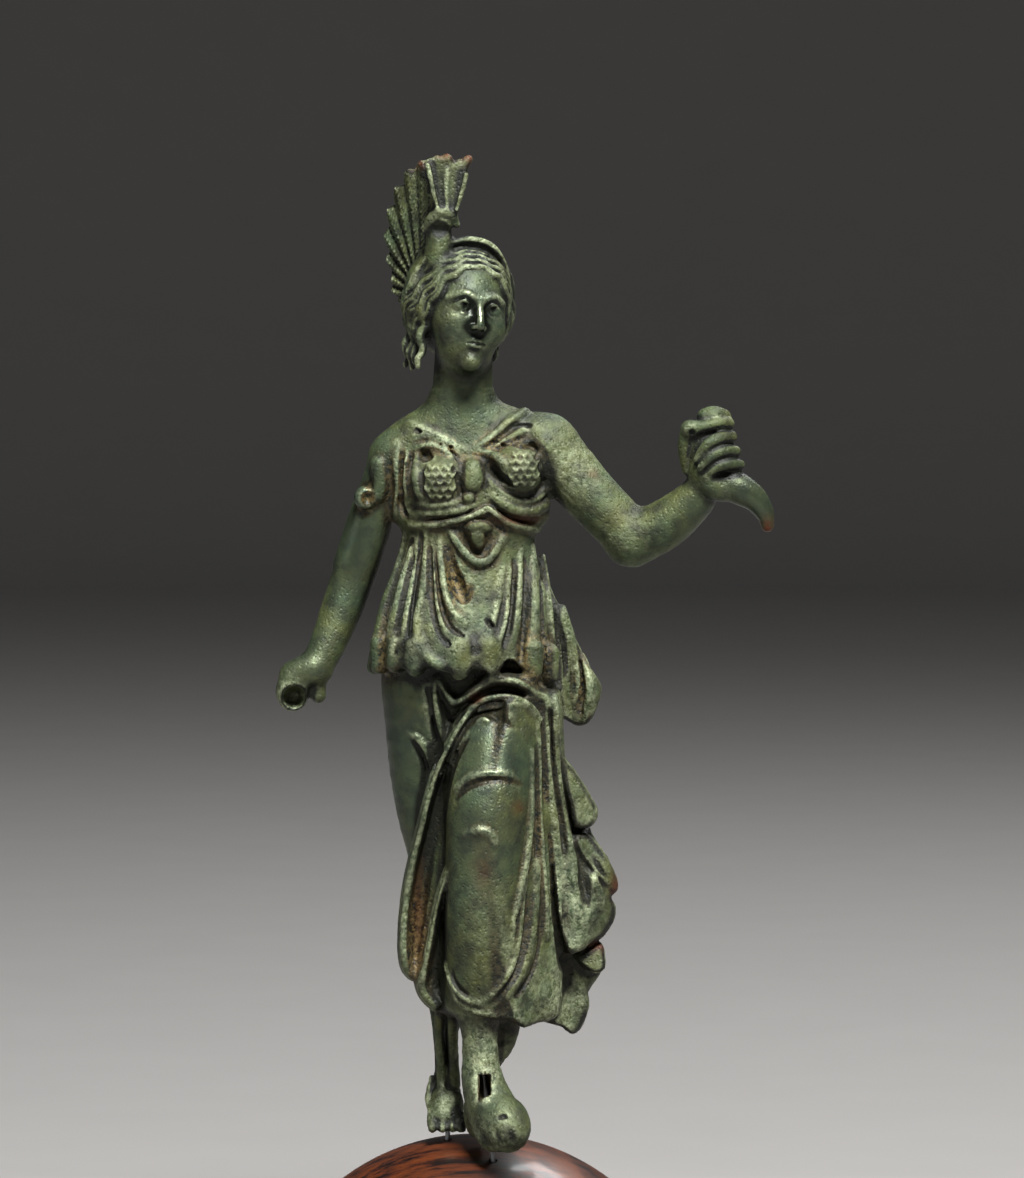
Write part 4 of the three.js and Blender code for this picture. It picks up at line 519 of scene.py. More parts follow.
def windOn(forms, lines, radius, blend):  # locks laid round the head, as [azimuth, elevation] lines
    locks, marks = [], []
    for row, line in enumerate(lines):
        path = smoothLine(line, 4)
        step = np.gradient(path, axis=0)
        aside = np.column_stack([-step[:, 1], step[:, 0]]) / np.linalg.norm(step, axis=1)[:, None]
        along = np.arange(len(path))
        sway = hair["sway"] * np.sin(1.3 * along + 0.4 * row) * np.minimum(along / 4, 1)
        path = path + aside * sway[:, None]
        a, e = np.radians(path.T)
        way = np.column_stack([np.sin(a) * np.cos(e), -np.cos(a) * np.cos(e), np.sin(e)])
        reach = np.full(len(path), float(hair["start"]))
        for _ in range(hair["steps"]):
            spot = hair["center"] + way * reach[:, None]
            reach = reach - np.maximum(fieldAt(forms, *spot.T), 0) * 0.8
        plain, swollen = hair["swell"]
        swell = plain + swollen * np.cos(np.linspace(-0.9, 0.9, len(path)) * math.pi)
        spot = hair["center"] + way * reach[:, None]
        locks.append(chain(np.column_stack([spot, radius * swell]), blend, 2))
        spot = hair["center"] + way * (reach + radius)[:, None]
        marks.append(chain(np.column_stack([spot, hair["marking"] * swell]), 1, 2, True))
    return locks + marks


def lockLines(side):
    hairline = [[2, 45], [24, 40], [44, 27], [60, 6], [76, -12], [98, -26], [130, -28], [160, -22]]
    crown = [[4, 80], [36, 76], [70, 64], [98, 46], [112, 20], [124, 4], [142, -6], [162, -10]]
    return [[[side * a, e] for a, e in line] for line in between(hairline, crown, 5)]


locks = [lock for side in (-1, 1) for lock in windOn(face + hairMass, lockLines(side), 6.2, 1.2)]


def hangingLocks(side, count, x, length):  # wavy ends of hair beside the neck, one behind the other
    return [chain([[side * (x + 2 * i + 2.6 * math.sin(1.7 * k + 1.2 * i) - 0.4 * k), 1 + 8 * i + 1.2 * k,
                    4 - length * k / 9 + 3 * (i % 2), 6.6 - 0.4 * k] for k in range(10)],
                    1.2) for i in range(count)]


curls = hangingLocks(-1, 4, 43, 62) + hangingLocks(1, 3, 41, 44)
head = placed([*face, *hairMass, *locks, *curls, *helmet], headPlace["origin"], headPlace["yaw"],
              headPlace["roll"], headPlace["pitch"])

# The crest fans out backwards from a stalk: [back, z] points in its own plane
crestPlace = {"origin": [-36, -6, 0], "turn": 34, "spread": [20, 862]}
crestOutline = [
    [-6, 918], [-4, 960], [0, 1003], [10, 1001], [16, 994], [26, 1000], [36, 998], [40, 988], [50, 992],
    [60, 986],
    [60, 976], [70, 976], [78, 966], [76, 957], [85, 954], [92, 943], [87, 935], [93, 928], [94, 916],
    [87, 909],
    [90, 900], [86, 890], [79, 884], [82, 872], [72, 862], [62, 856], [48, 872], [30, 890],
]


def crestRelief(x, z):  # feathers spread from the helmet, each with barbs slanting off its middle rib
    back, up = crestPlace["spread"]
    angle, away = np.arctan2(z - up, -x - back), np.hypot(z - up, -x - back)
    across = (angle * 15 / np.pi) % 1 - 0.5
    rise = np.sqrt(np.maximum(1 - (2 * across) ** 2, 0))
    barb = np.cos(1.1 * (away - 0.3 * np.abs(across) * away))
    return 3.5 + 4 * rise + 0.9 * barb * rise + 1.2 * np.exp(-(across / 0.1) ** 2)


crest = [
    *placed([sheet([[-b, z] for b, z in crestOutline], lambda x, z: 0 * x, crestRelief, 4, 5)],
            crestPlace["origin"], -90 + crestPlace["turn"], 0, 0),
    sheet([[-38, 946], [-49, 995], [-40, 1002], [-30, 1003], [-20, 999], [-4, 1003], [-9, 984], [-18, 946]],
          lambda x, z: -12 + 0 * x, lambda x, z: 9 + 0 * x, 3, 5),
    chain([[-37, -22, 950, 2.2], [-43, -23, 975, 2.4], [-47, -23, 994, 2.8]], 2),
    chain([[-19, -22, 950, 2], [-13, -23, 968, 2.2], [-9, -23, 985, 2.6]], 2),
    chain([[-28, -20.5, 952, 1.6], [-29, -21, 972, 1.8], [-28, -21, 990, 1.8]], 3),
    *[egg([x, y, z], [r, r, r], 3) for x, y, z, r in (
        [-58, -6, 995, 4.5], [-47, -16, 996, 4], [-37, -18, 999, 4.5], [-28, -18, 1001, 5],
        [-17, -17, 997, 3.5],
        [-7, -16, 1000, 4.5])],
    chain([[-36, -6, 900, 14], [-36, -8, 928, 12]], 5),
    egg([-35, -11, 938], [15, 13, 9], 3),
    chain([[-50, -10, 931, 4], [-44, -17, 941, 5], [-34, -21, 947, 5.5], [-24, -18, 945, 5],
           [-19, -11, 936, 4]], 3),
    egg([-35, -26, 930], [11, 10, 8], 4, True),
]

baseForms = [*body, overfold, skirt, frontSkirt, backLeg, frontLeg, *cloth, *arms, *feet, *head, *crest]
clothForms = [*body, overfold, skirt, frontSkirt, backLeg, frontLeg, *cloth, *arms[:2]]


# Folds and ornaments laid on the figure, as [x, z, radius] points

collar = [
    ridge([-66, 735, 4.5], [-50, 729, 4.5], [-34, 722, 4], [-20, 714, 3.5], [-9, 708, 3], blend=3),
    ridge([-62, 721, 4], [-50, 724, 4.5], [-38, 720, 4], [-27, 713, 4], [-17, 705, 3.5], blend=3),
    ridge([-58, 711, 4], [-46, 714, 4], [-33, 710, 4], [-22, 702, 3.5], blend=3),
    ridge([-2, 709, 4], [8, 716, 4.5], [20, 725, 4.5], [34, 737, 5], [50, 746, 6], blend=3),
    ridge([16, 711, 3.5], [28, 716, 4.5], [40, 723, 5.5], [52, 730, 6], blend=3),
    ridge([61, 730, 6], [70, 716, 6], [76, 700, 6], [79, 684, 6], [76, 668, 6], blend=5),
    groove([-58, 729, 1.6], [-40, 721, 1.8], [-24, 712, 1.5], blend=2),
    groove([-52, 705, 5.5], [-48, 703, 6], blend=2, sink=0.4),
    groove([-34, 714, 1.4], [-24, 707, 1.6], [-16, 700, 1.4], blend=2),
    groove([40, 733, 2], [54, 734, 2.5], blend=2),
    groove([18, 717, 1.8], [30, 714, 2], blend=2),
    groove([38, 716, 2.4], [48, 713, 3.4], [58, 713, 3.4], [62, 703, 3], [65, 692, 2.8], [68, 680, 2.2],
           blend=2, sink=0.5),
]
breasts = [
    ridge([-78, 716, 4], [-78, 690, 5], [-77, 664, 5], [-80, 642, 4], blend=3),
    ridge([-68, 708, 3.5], [-69, 685, 4], [-68, 665, 4], blend=2),
    ridge([-58, 702, 4.5], [-59, 688, 5], [-57, 672, 5], [-51, 660, 4], blend=3),
    groove([-73, 706, 1.6], [-73.5, 685, 2], [-73, 664, 1.6], blend=2),
    groove([-63, 706, 1.6], [-64, 685, 2], [-63, 666, 1.6], blend=2),
    groove([-51, 696, 1.5], [-53, 682, 2], [-50, 668, 2], [-44, 660, 1.5], blend=2),
    groove([-21, 692, 2], [-17, 681, 3], [-14, 669, 3], [-13, 660, 2], blend=2, sink=0.4),
    ridge([-3, 694, 11], [-2, 683, 13], [-4, 672, 10], blend=3, sink=0.3),
    ridge([-8, 662, 5.5], [-5, 662, 5.5], blend=2, sink=-0.1),
    ridge([2, 707, 4], [14, 706, 4.5], [25, 700, 4.5], [34, 691, 4], blend=3),
    groove([13, 697, 3], [20, 689, 6], [30, 681, 5], [40, 675, 3], blend=2, sink=0.6),
    ridge([13, 682, 4], [20, 673, 4.5], [31, 665, 4.5], [45, 658, 4.5], [58, 659, 4.5], [68, 668, 4.5],
          [74, 680, 4.5], blend=3, sink=-0.1),
    ridge([14, 669, 4.5], [25, 658, 5.5], [40, 650, 6], [56, 648, 6], [70, 655, 6], blend=3, sink=-0.1),
    groove([12, 653, 2.5], [26, 645, 4], [45, 640, 4.5], [62, 638, 3], blend=2, sink=0.5),
    ridge([-62, 658, 4.5], [-45, 655, 4], [-28, 656, 4], [-12, 660, 4], blend=3),
    ridge([-66, 647, 5], [-40, 647, 5], [-18, 649, 5], [0, 655, 5], blend=3),
    groove([-75, 660, 3.5], [-73, 652, 4], [-70, 645, 3.5], blend=2, sink=0.5),
    groove([-46, 641, 2], [-20, 642, 2.4], [-2, 648, 2], blend=2, sink=0.3),
]
belt = [
    ridge([-64, 635, 4], [-40, 635, 4], [-24, 638, 3.5], [-6, 643, 3.5], [6, 648, 4], [14, 651, 4],
          [24, 643, 3.5],
          [38, 635, 4], [62, 630, 4.5], blend=2, sink=-0.2),
    groove([-22, 632, 2], [-8, 636, 2.2], [6, 640, 2], [20, 635, 2.2], [30, 628, 2], blend=2, sink=0.3),
    ridge([-7, 632, 5], [4, 633, 7], [14, 632, 5], blend=3, sink=-0.1),
    ridge([2, 625, 8], [4, 614, 5], blend=3, sink=-0.1),
    groove([-15, 633, 2.4], [-9, 620, 3], [0, 608, 3], [8, 609, 2], [16, 622, 2.4], blend=2, sink=0.5),
    ridge([-26, 630, 3.5], [-20, 621, 4.5], [-13, 611, 4.6], [-5, 602, 4.8], [4, 597, 5], [13, 600, 4.6],
          [20, 609, 5], [28, 622, 4.5], blend=2, sink=-0.3),
]
overfoldFolds = [
    ridge([-70, 626, 3], [-73, 606, 4], [-81, 580, 5], [-89, 556, 6], [-95, 530, 6.5], [-99, 508, 7],
          [-102, 490, 7.5], blend=3),
    ridge([-62, 622, 3], [-65, 600, 4.5], [-73, 572, 5.5], [-80, 540, 6.5], [-85, 510, 7], blend=3),
    ridge([-57, 620, 3], [-58, 600, 3.5], [-62, 575, 4.5], [-68, 540, 5.5], [-71, 505, 6.5], blend=3),
    ridge([-49, 628, 3.5], [-49, 600, 4], [-53, 565, 4], [-58, 540, 4.5], [-56, 517, 5], [-47, 503, 5],
          [-33, 495, 5], [-12, 492, 5], [12, 492, 4.5], blend=4),
    groove([-63, 619, 2], [-69, 598, 2.5], [-75, 576, 2.5], [-83, 548, 2.5], [-89, 520, 2.5], blend=2,
           sink=0.5),
    groove([-60, 600, 1.5], [-66, 570, 2], [-73, 540, 2.2], [-78, 508, 2.5], blend=2, sink=0.3),
    groove([-54, 626, 2], [-54, 608, 2.4], [-58, 586, 2.2], [-62, 556, 2], [-64, 525, 2], [-62, 505, 2],
           blend=2, sink=0.5),
    ridge([-42, 626, 2.5], [-41, 600, 2.6], [-39, 570, 3], [-36, 548, 3], [-31, 532, 2.5], blend=3),
    groove([-45, 610, 1.5], [-44, 575, 2], [-41, 545, 2], [-34, 524, 2], [-20, 512, 1.6], blend=3),
    groove([-38.5, 605, 1.6], [-36.5, 575, 2], [-32, 550, 2.4], [-24, 533, 2.6], [-12, 524, 1.6], blend=2,
           sink=0.3),
    ridge([-36, 622, 3.5], [-34, 600, 4], [-31, 575, 4], [-27, 558, 4], [-19, 545, 3.6], [-10, 537, 3],
          blend=3, sink=-0.1),
    groove([-27, 612, 2], [-23, 592, 4.5], [-17, 574, 7], [-11, 562, 5], [-5, 572, 4], blend=4, sink=0.3),
    ridge([-14, 512, 2.5], [2, 516, 3], [14, 528, 3], [20, 545, 3], [24, 566, 3.2], [27, 592, 3], blend=4),
    ridge([-26, 500, 2.5], [-8, 502, 3], [14, 508, 3], [26, 525, 3], [32, 552, 3.5], [34, 590, 3], blend=4),
    groove([12, 540, 2], [17, 534, 2.6], blend=2, sink=0.4),
    ridge([45, 608, 3], [44, 580, 4], [42, 550, 5], [38, 520, 6], blend=3),
    groove([39, 600, 1.6], [38, 570, 2], [35, 540, 2.2], [29, 515, 2.4], blend=2, sink=0.3),
    ridge([57, 612, 4], [58, 580, 6], [58, 545, 7], [57, 512, 8], [57, 500, 8], blend=3),
    groove([50.5, 600, 2], [50, 560, 2.5], [48, 525, 3], [46, 500, 3.5], blend=2, sink=0.3),
    groove([26, 490, 5], [34, 495, 6], [42, 490, 5], blend=2, sink=0.2),
    ridge([68, 600, 3], [73, 560, 4], [76, 520, 4.5], [79, 482, 5], blend=3),
    groove([65, 592, 1.8], [67, 555, 2.2], [68, 515, 2.6], [70, 485, 2.6], blend=2, sink=0.4),
]
thighFolds = [
    groove([-2, 458, 1.8], [12, 466, 2.2], [26, 469, 2.2], [42, 467, 2.2], [56, 459, 2.2], [67, 446, 1.8],
           blend=3),
    groove([12, 449, 1.8], [22, 443, 2.2], [33, 438, 2.2], [47, 432, 1.5], blend=3),
    ridge([2, 438, 3], [8, 441, 4], [15, 438, 3.5], blend=2),
    groove([-19, 364, 1.5], [-10, 374, 2.2], [0, 380, 2.4], [14, 384, 2.4], [30, 384, 2], [46, 379, 1.4],
           blend=4),
    ridge([-18, 374, 2.5], [-4, 386, 3], [14, 390, 3], [34, 388, 2.5], blend=5),
    ridge([-8, 330, 2.5], [4, 334, 3.5], [16, 330, 3.5], [20, 320, 3], blend=4),
]
sideFolds = [
    ridge([78, 466, 4], [80, 440, 5], [80, 412, 5], [82, 385, 5], [88, 345, 5], [94, 315, 5], [97, 290, 5],
          blend=3),
    ridge([69, 462, 3], [72, 430, 3.2], [73, 400, 3.2], [76, 365, 4], [81, 325, 4.5], [85, 295, 4.5],
          blend=3),
    groove([75, 450, 1.5], [76, 410, 1.8], [78, 380, 1.8], [84, 345, 2], [89, 312, 2.2], blend=2, sink=0.3),
    groove([66, 450, 1.5], [68, 410, 1.8], [69, 380, 2], [71, 350, 2.2], blend=2, sink=0.3),
    ridge([62, 440, 3], [64, 400, 3], [64, 360, 3], [66, 325, 3], [68, 292, 3.2], [70, 255, 4],
          [70, 222, 5], blend=2.5, sink=-0.2),
    groove([60, 380, 1.5], [60.5, 340, 2], [61, 305, 2], [63, 270, 2], blend=2, sink=0.2),
    ridge([56, 410, 3], [56, 370, 4], [54, 335, 5], [50, 300, 5.5], [44, 268, 5], [38, 240, 4],
          [35, 210, 3.5], blend=3),
    groove([57, 330, 1.6], [53, 305, 2.2], [48, 283, 2.4], [43, 262, 2.2], [40, 240, 1.6], blend=2, sink=0.3),
    ridge([61, 300, 3.5], [60, 265, 5], [57, 232, 5.5], [52, 205, 5.5], [44, 184, 5], [32, 168, 4.5],
          [20, 158, 4], blend=3),
    ridge([50, 285, 3], [46, 255, 4], [43, 225, 4], [38, 200, 4], [28, 180, 4], [16, 166, 3.5],
          [4, 160, 3.5], blend=3),
    groove([52, 262, 1.5], [50, 235, 2], [45, 208, 2.2], [36, 185, 2], [24, 168, 1.8], blend=2, sink=0.2),
    groove([66, 250, 1.5], [64, 215, 2], [58, 190, 2.6], [50, 176, 3], [42, 165, 3.5], blend=2, sink=0.3),
    ridge([-29, 196, 3], [-24, 180, 3.5], [-14, 167, 3.5], [-2, 160, 3.5], [10, 158, 3.5], blend=3),
    groove([-24, 192, 1.4], [-18, 176, 1.8], [-8, 167, 1.6], blend=2),
    ridge([-26, 178, 2.5], [-16, 160, 3], [0, 151, 3], [18, 147, 3], [42, 143, 3], blend=3),
]
legFolds = [
    ridge([-66, 426, 3], [-57, 420, 4], [-49, 408, 4.5], [-44, 390, 4], blend=3),
    groove([-62, 416, 1.6], [-54, 405, 2.4], [-49, 388, 2.4], [-50, 368, 1.8], blend=3),
    ridge([-40, 478, 3], [-39, 455, 3.5], [-34, 432, 4], [-27, 412, 4], blend=2, sink=-0.3),
    ridge([-8, 452, 3], [-18, 436, 3.5], [-25, 424, 3.5], blend=2),
]
flareFolds = [
    groove([85, 384, 1.5], [92, 352, 2.5], [97, 330, 3], [103, 305, 3], [114, 288, 2.6], [128, 272, 2.4],
           [140, 262, 2], blend=2, sink=0.4),
    groove([104, 300, 1.6], [109, 272, 2.2], [116, 248, 1.6], blend=3, sink=0.2),
    groove([118, 302, 1.6], [127, 285, 2.2], [137, 276, 2], blend=2, sink=0.2),
    ridge([96, 295, 5], [98, 262, 8], [100, 232, 8], blend=6),
    ridge([118, 280, 3], [124, 262, 4], [127, 245, 4], blend=5),
    groove([97, 329, 2], [106, 326, 2.5], [117, 329, 2], blend=2, sink=0.4),
]
mantleFolds = [
    ridge([88, 548, 4], [97, 515, 5], [104, 480, 5], [102, 452, 4.5], blend=3),
    groove([85, 532, 2.2], [90, 505, 2.8], [92, 478, 2.8], blend=2, sink=0.4),
    ridge([108, 500, 3], [116, 470, 4.5], [112, 444, 5], blend=3),
    groove([106, 495, 1.5], [110, 468, 2.2], [106, 444, 2], blend=2, sink=0.3),
]


def scales(centerX, centerZ, halfX, halfZ, pitch):  # small overlapping scales inside an oval
    rows = []
    for row in range(int(-halfZ // pitch), int(halfZ // pitch) + 1):
        z = centerZ + row * pitch
        for column in range(int(-halfX // pitch) - 1, int(halfX // pitch) + 2):
            x = centerX + (column + 0.5 * (row % 2)) * pitch * 1.15
            if ((x - centerX) / halfX) ** 2 + ((z - centerZ) / halfZ) ** 2 < 1:
                rows.append(ridge([x - 3.6, z + 2, 1.2], [x, z - 2.6, 1.9], [x + 3.6, z + 2, 1.2],
                                  blend=1.2, sink=-0.1))
    return rows


scalePanels = scales(-35, 679, 16, 18, 7) + scales(49, 692, 14, 18, 7)
strokes = (collar + breasts + belt + overfoldFolds + thighFolds + sideFolds + legFolds + flareFolds
           + mantleFolds + scalePanels)

# Bores round the two steel pins, and the slot broken out above the front foot
pins = [  # foot of each pin in shares, its lean for each unit up, and its depth in wood and bronze in mm
    {"spot": (18, -75), "lean": (-0.11, 0.09), "inWood": 12, "inFoot": 15},
    {"spot": (-28, -12), "lean": (0, 0.04), "inWood": 9, "inFoot": 8},
]
boreRadius = 0.75  # mm
boreBeyond = 0.3   # mm clear past each end of a pin
boreFoot = -12     # where the bores start, under the soles, in shares


def boreInFoot(pin):
    (x, y), (leanX, leanY) = pin["spot"], pin["lean"]
    unit = share / mm
    up = (pin["inFoot"] + boreBeyond) / unit
    ends = [[x + leanX * z, y + leanY * z, z, boreRadius / unit] for z in (boreFoot, up)]
    return chain(ends, 0.5, 1, True)


slotOutline = [[4.3, 60.5], [15.5, 60.5], [15.5, 86.5], [4.3, 86.5]]
slot = {**sheet(slotOutline, lambda x, z: -80.5 + 0 * x, lambda x, z: 14.7 + 0 * x, 1.5, 1, 1), "cut": True}
allForms = (baseForms + edges + channels + layAll(clothForms + edges[:3], strokes)
            + [slot] + [boreInFoot(pin) for pin in pins])
print("figure described:", len(allForms), "forms")


# The field sampled in blocks near the surface, then skinned with one point in each crossed cell

def axisLines(low, high, fineSpans):
    fine, coarse = [carving[name] * mm / share for name in ("fineCell", "cell")]
    lines = [low]
    while lines[-1] < high:
        inFine = any(start <= lines[-1] < stop for start, stop in fineSpans)
        lines.append(lines[-1] + (fine if inFine else coarse))
    return np.array(lines)


def sampleField(forms, axes, blockCells=14):
    counts = [len(lines) for lines in axes]
    values = np.full(counts, far, np.float32)
    lows = np.array([one["low"] - one["blend"] for one in forms])
    highs = np.array([one["high"] + one["blend"] for one in forms])
    for i0 in range(0, counts[0] - 1, blockCells):
        for j0 in range(0, counts[1] - 1, blockCells):
            for k0 in range(0, counts[2] - 1, blockCells):
                spans = [slice(s, min(s + blockCells, n - 1) + 1) for s, n in zip((i0, j0, k0), counts)]
                xs, ys, zs = [lines[span] for lines, span in zip(axes, spans)]
                low, high = np.array([xs[0], ys[0], zs[0]]), np.array([xs[-1], ys[-1], zs[-1]])
                near = [forms[i] for i in np.nonzero(((lows < high) & (highs > low)).all(1))[0]]
                if all(one["cut"] for one in near):
                    continue
                middle = (low + high) / 2
                center = fieldAt(near, *[np.array([v]) for v in middle])[0]
                reach = np.linalg.norm(high - low) + 4
                if center > reach:
                    continue
                if center < -reach:
                    block = values[tuple(spans)]
                    block[block == far] = -far
                    continue
                d = fieldAt(near, xs[:, None, None], ys[None, :, None], zs[None, None, :], (low, high))
                if d is not None:
                    values[tuple(spans)] = d
    return values


def skinField(values, axes):
    inside = values < 0
    nx, ny, nz = [n - 1 for n in values.shape]
    count = sum(inside[i:i + nx, j:j + ny, k:k + nz].astype(np.int8) for i, j, k in cubeCorners)
    cells = np.nonzero((count > 0) & (count < 8))
    number = np.full((nx, ny, nz), -1, np.int32)
    number[cells] = np.arange(len(cells[0]))
    total = np.zeros((len(cells[0]), 3))
    crossings = np.zeros(len(cells[0]))
    at = [values[cells[0] + i, cells[1] + j, cells[2] + k] for i, j, k in cubeCorners]
    for a in range(8):
        for axis in range(3):
            if cubeCorners[a][axis]:
                continue
            b = a + (4, 2, 1)[axis]
            va, vb = at[a], at[b]
            hit = (va < 0) != (vb < 0)
            t = np.where(hit, va / np.where(hit, va - vb, 1), 0)
            for other in range(3):
                place = np.full(len(va), float(cubeCorners[a][other]))
                if other == axis:
                    place = t
                total[:, other] += np.where(hit, place, 0)
            crossings += hit
    local = total / crossings[:, None]
    points = np.column_stack([axes[n][cells[n]] + local[:, n] * (axes[n][cells[n] + 1] - axes[n][cells[n]])
                              for n in range(3)])
    quads = []
    for axis in range(3):
        u, v = (axis + 1) % 3, (axis + 2) % 3
        lowSide = np.moveaxis(inside, axis, 0)
        change = lowSide[:-1] != lowSide[1:]
        change = np.moveaxis(change, 0, axis)
        rim = [slice(None)] * 3
        rim[u] = slice(1, -1)
        rim[v] = slice(1, -1)
        spot = np.array(np.nonzero(change[tuple(rim)]))
        spot[u] += 1
        spot[v] += 1
        ring = []
        for du, dv in ((-1, -1), (0, -1), (0, 0), (-1, 0)):
            cell = spot.copy()
            cell[u] += du
            cell[v] += dv
            ring.append(number[tuple(cell)])
        ring = np.column_stack(ring)
        startsInside = inside[tuple(spot)]
        quads.append(np.where(startsInside[:, None], ring, ring[:, ::-1]))
    return points, np.vstack(quads)


def biggestSkin(points, quads):  # drops crumbs and inner walls
    root = np.arange(len(points))
    edges = np.vstack([quads[:, [i, (i + 1) % 4]] for i in range(4)])
    while True:
        low = np.minimum(root[edges[:, 0]], root[edges[:, 1]])
        np.minimum.at(root, edges[:, 0], low)
        np.minimum.at(root, edges[:, 1], low)
        root = root[root]
        if (root[edges[:, 0]] == root[edges[:, 1]]).all():
            break
    keep = root == np.bincount(root).argmax()
    renumber = np.cumsum(keep) - 1
    return points[keep], renumber[quads[keep[quads[:, 0]]]]


def fineMesh(name, points, faces):
    mesh = bpy.data.meshes.new(name)
    mesh.from_pydata([], [], [])
    mesh.vertices.add(len(points))
    mesh.vertices.foreach_set("co", np.ascontiguousarray(points, np.float32).ravel())
    mesh.loops.add(faces.size)
    mesh.loops.foreach_set("vertex_index", faces.ravel())
    mesh.polygons.add(len(faces))
    mesh.polygons.foreach_set("loop_start", np.arange(len(faces)) * faces.shape[1])
    mesh.update(calc_edges=True)
    mesh.validate()
    piece = bpy.data.objects.new(name, mesh)
    bpy.context.collection.objects.link(piece)
    mesh.shade_smooth()
    return piece


def thinned(piece, wanted):
    triangles = len(piece.data.polygons) * 2
    if triangles > wanted:
        bpy.context.view_layer.objects.active = piece
        thin = piece.modifiers.new("thin", "DECIMATE")
        thin.ratio = wanted / triangles
        bpy.ops.object.modifier_apply(modifier=thin.name)


def meshPoints(mesh, normals=False):
    flat = np.zeros(len(mesh.vertices) * 3, np.float32)
    if normals:
        mesh.vertex_normals.foreach_get("vector", flat)
    else:
        mesh.vertices.foreach_get("co", flat)
    return flat.reshape(-1, 3).astype(float)


openAir = 40  # shares off the skin, beyond which all reads alike


def fieldNear(values, axes, points):  # reads the sampled field between its samples
    cells, parts = [], []
    for n in range(3):
        cell = np.clip(np.searchsorted(axes[n], points[:, n]) - 1, 0, len(axes[n]) - 2)
        cells.append(cell)
        parts.append(np.clip((points[:, n] - axes[n][cell]) / (axes[n][cell + 1] - axes[n][cell]), 0, 1))
    total = 0
    for corner in cubeCorners:
        part = 1
        for n, step in enumerate(corner):
            part = part * (parts[n] if step else 1 - parts[n])
        read = values[tuple(cell + step for cell, step in zip(cells, corner))]
        total = total + part * np.minimum(read, openAir)
    return total


# Patches of skin, as [x, z, half width, half height, strength], in shares

def patches(points, rows):
    total = np.zeros(len(points))
    for x, z, wide, tall, strength in rows:
        total = np.maximum(total, strength * np.exp(-((points[:, 0] - x) / wide) ** 2
                                                    - ((points[:, 2] - z) / tall) ** 2))
    return total


skin = {
    # rubbed smooth by handling, with a grey-blue satin sheen
    "rubbed": [[-80, 420, 30, 80, 1], [-120, 620, 30, 80, 0.8], [-170, 490, 25, 40, 0.7],
               [-12, 770, 30, 25, 0.8],
               [0, 840, 26, 40, 0.9], [20, 410, 46, 50, 0.7], [10, 330, 36, 60, 0.6], [280, 655, 30, 40, 0.9],
               [232, 640, 30, 40, 0.6], [-60, 330, 16, 60, 0.8], [10, 60, 40, 30, 0.4],
               [60, 745, 30, 20, 0.5]],
    # eaten to a granular crust
    "pitted": [[95, 690, 40, 50, 0.8], [150, 620, 40, 30, 0.5], [100, 250, 34, 70, 1], [85, 160, 40, 50, 1],
               [120, 340, 20, 50, 0.7], [10, 110, 34, 50, 0.9], [20, 30, 44, 24, 0.8], [0, 560, 70, 60, 0.5],
               [60, 560, 30, 70, 0.6], [100, 480, 34, 60, 0.6], [-30, 40, 24, 30, 0.8],
               [10, 240, 30, 90, 0.5],
               [20, 680, 70, 40, 0.45], [-50, 960, 50, 60, 0.4]],
    # earth left in the hollows
    "earthy": [[-20, 575, 20, 30, 1], [58, 505, 16, 30, 1], [-58, 215, 12, 50, 1], [0, 712, 60, 14, 0.8],
               [-78, 680, 16, 60, 0.5], [115, 470, 18, 30, 0.7], [-95, 500, 14, 40, 0.6],
               [70, 320, 12, 60, 0.6],
               [8, 75, 12, 20, 0.5], [-110, 660, 14, 14, 0.8], [40, 300, 60, 200, 0.25],
               [0, 620, 80, 60, 0.3]],
    # bare reddish copper colour
    "coppery": [[-5, 1004, 9, 7, 1], [-30, 1006, 10, 6, 1], [-60, 997, 9, 6, 0.8], [293, 630, 8, 12, 1],
                [44, 640, 22, 5, 0.7], [143, 268, 7, 12, 0.9], [8, 292, 10, 24, 0.4], [43, 355, 6, 6, 0.7],
                [2, 462, 7, 5, 0.8], [118, 685, 5, 5, 0.5], [-57, 240, 6, 50, 0.5], [124, 208, 12, 5, 0.7]],
}


crust = {"grain": 0.34, "fine": 0.75, "lumps": 0.15, "waves": 0.07}  # bumps in one share


def roughen(points, normals, rough):  # corroded casting: grain on the crust, slight waves elsewhere
    moved = np.empty(len(points))
    for i, place in enumerate(points):
        grain = (noise.noise(place * crust["grain"]) + 0.5 * noise.noise(place * crust["fine"])
                 + 1.1 * noise.noise(place * crust["lumps"]))
        moved[i] = carving["grit"] * (rough[i] * grain + 0.5 * noise.noise(place * crust["waves"]))
    return points + normals * moved[:, None]


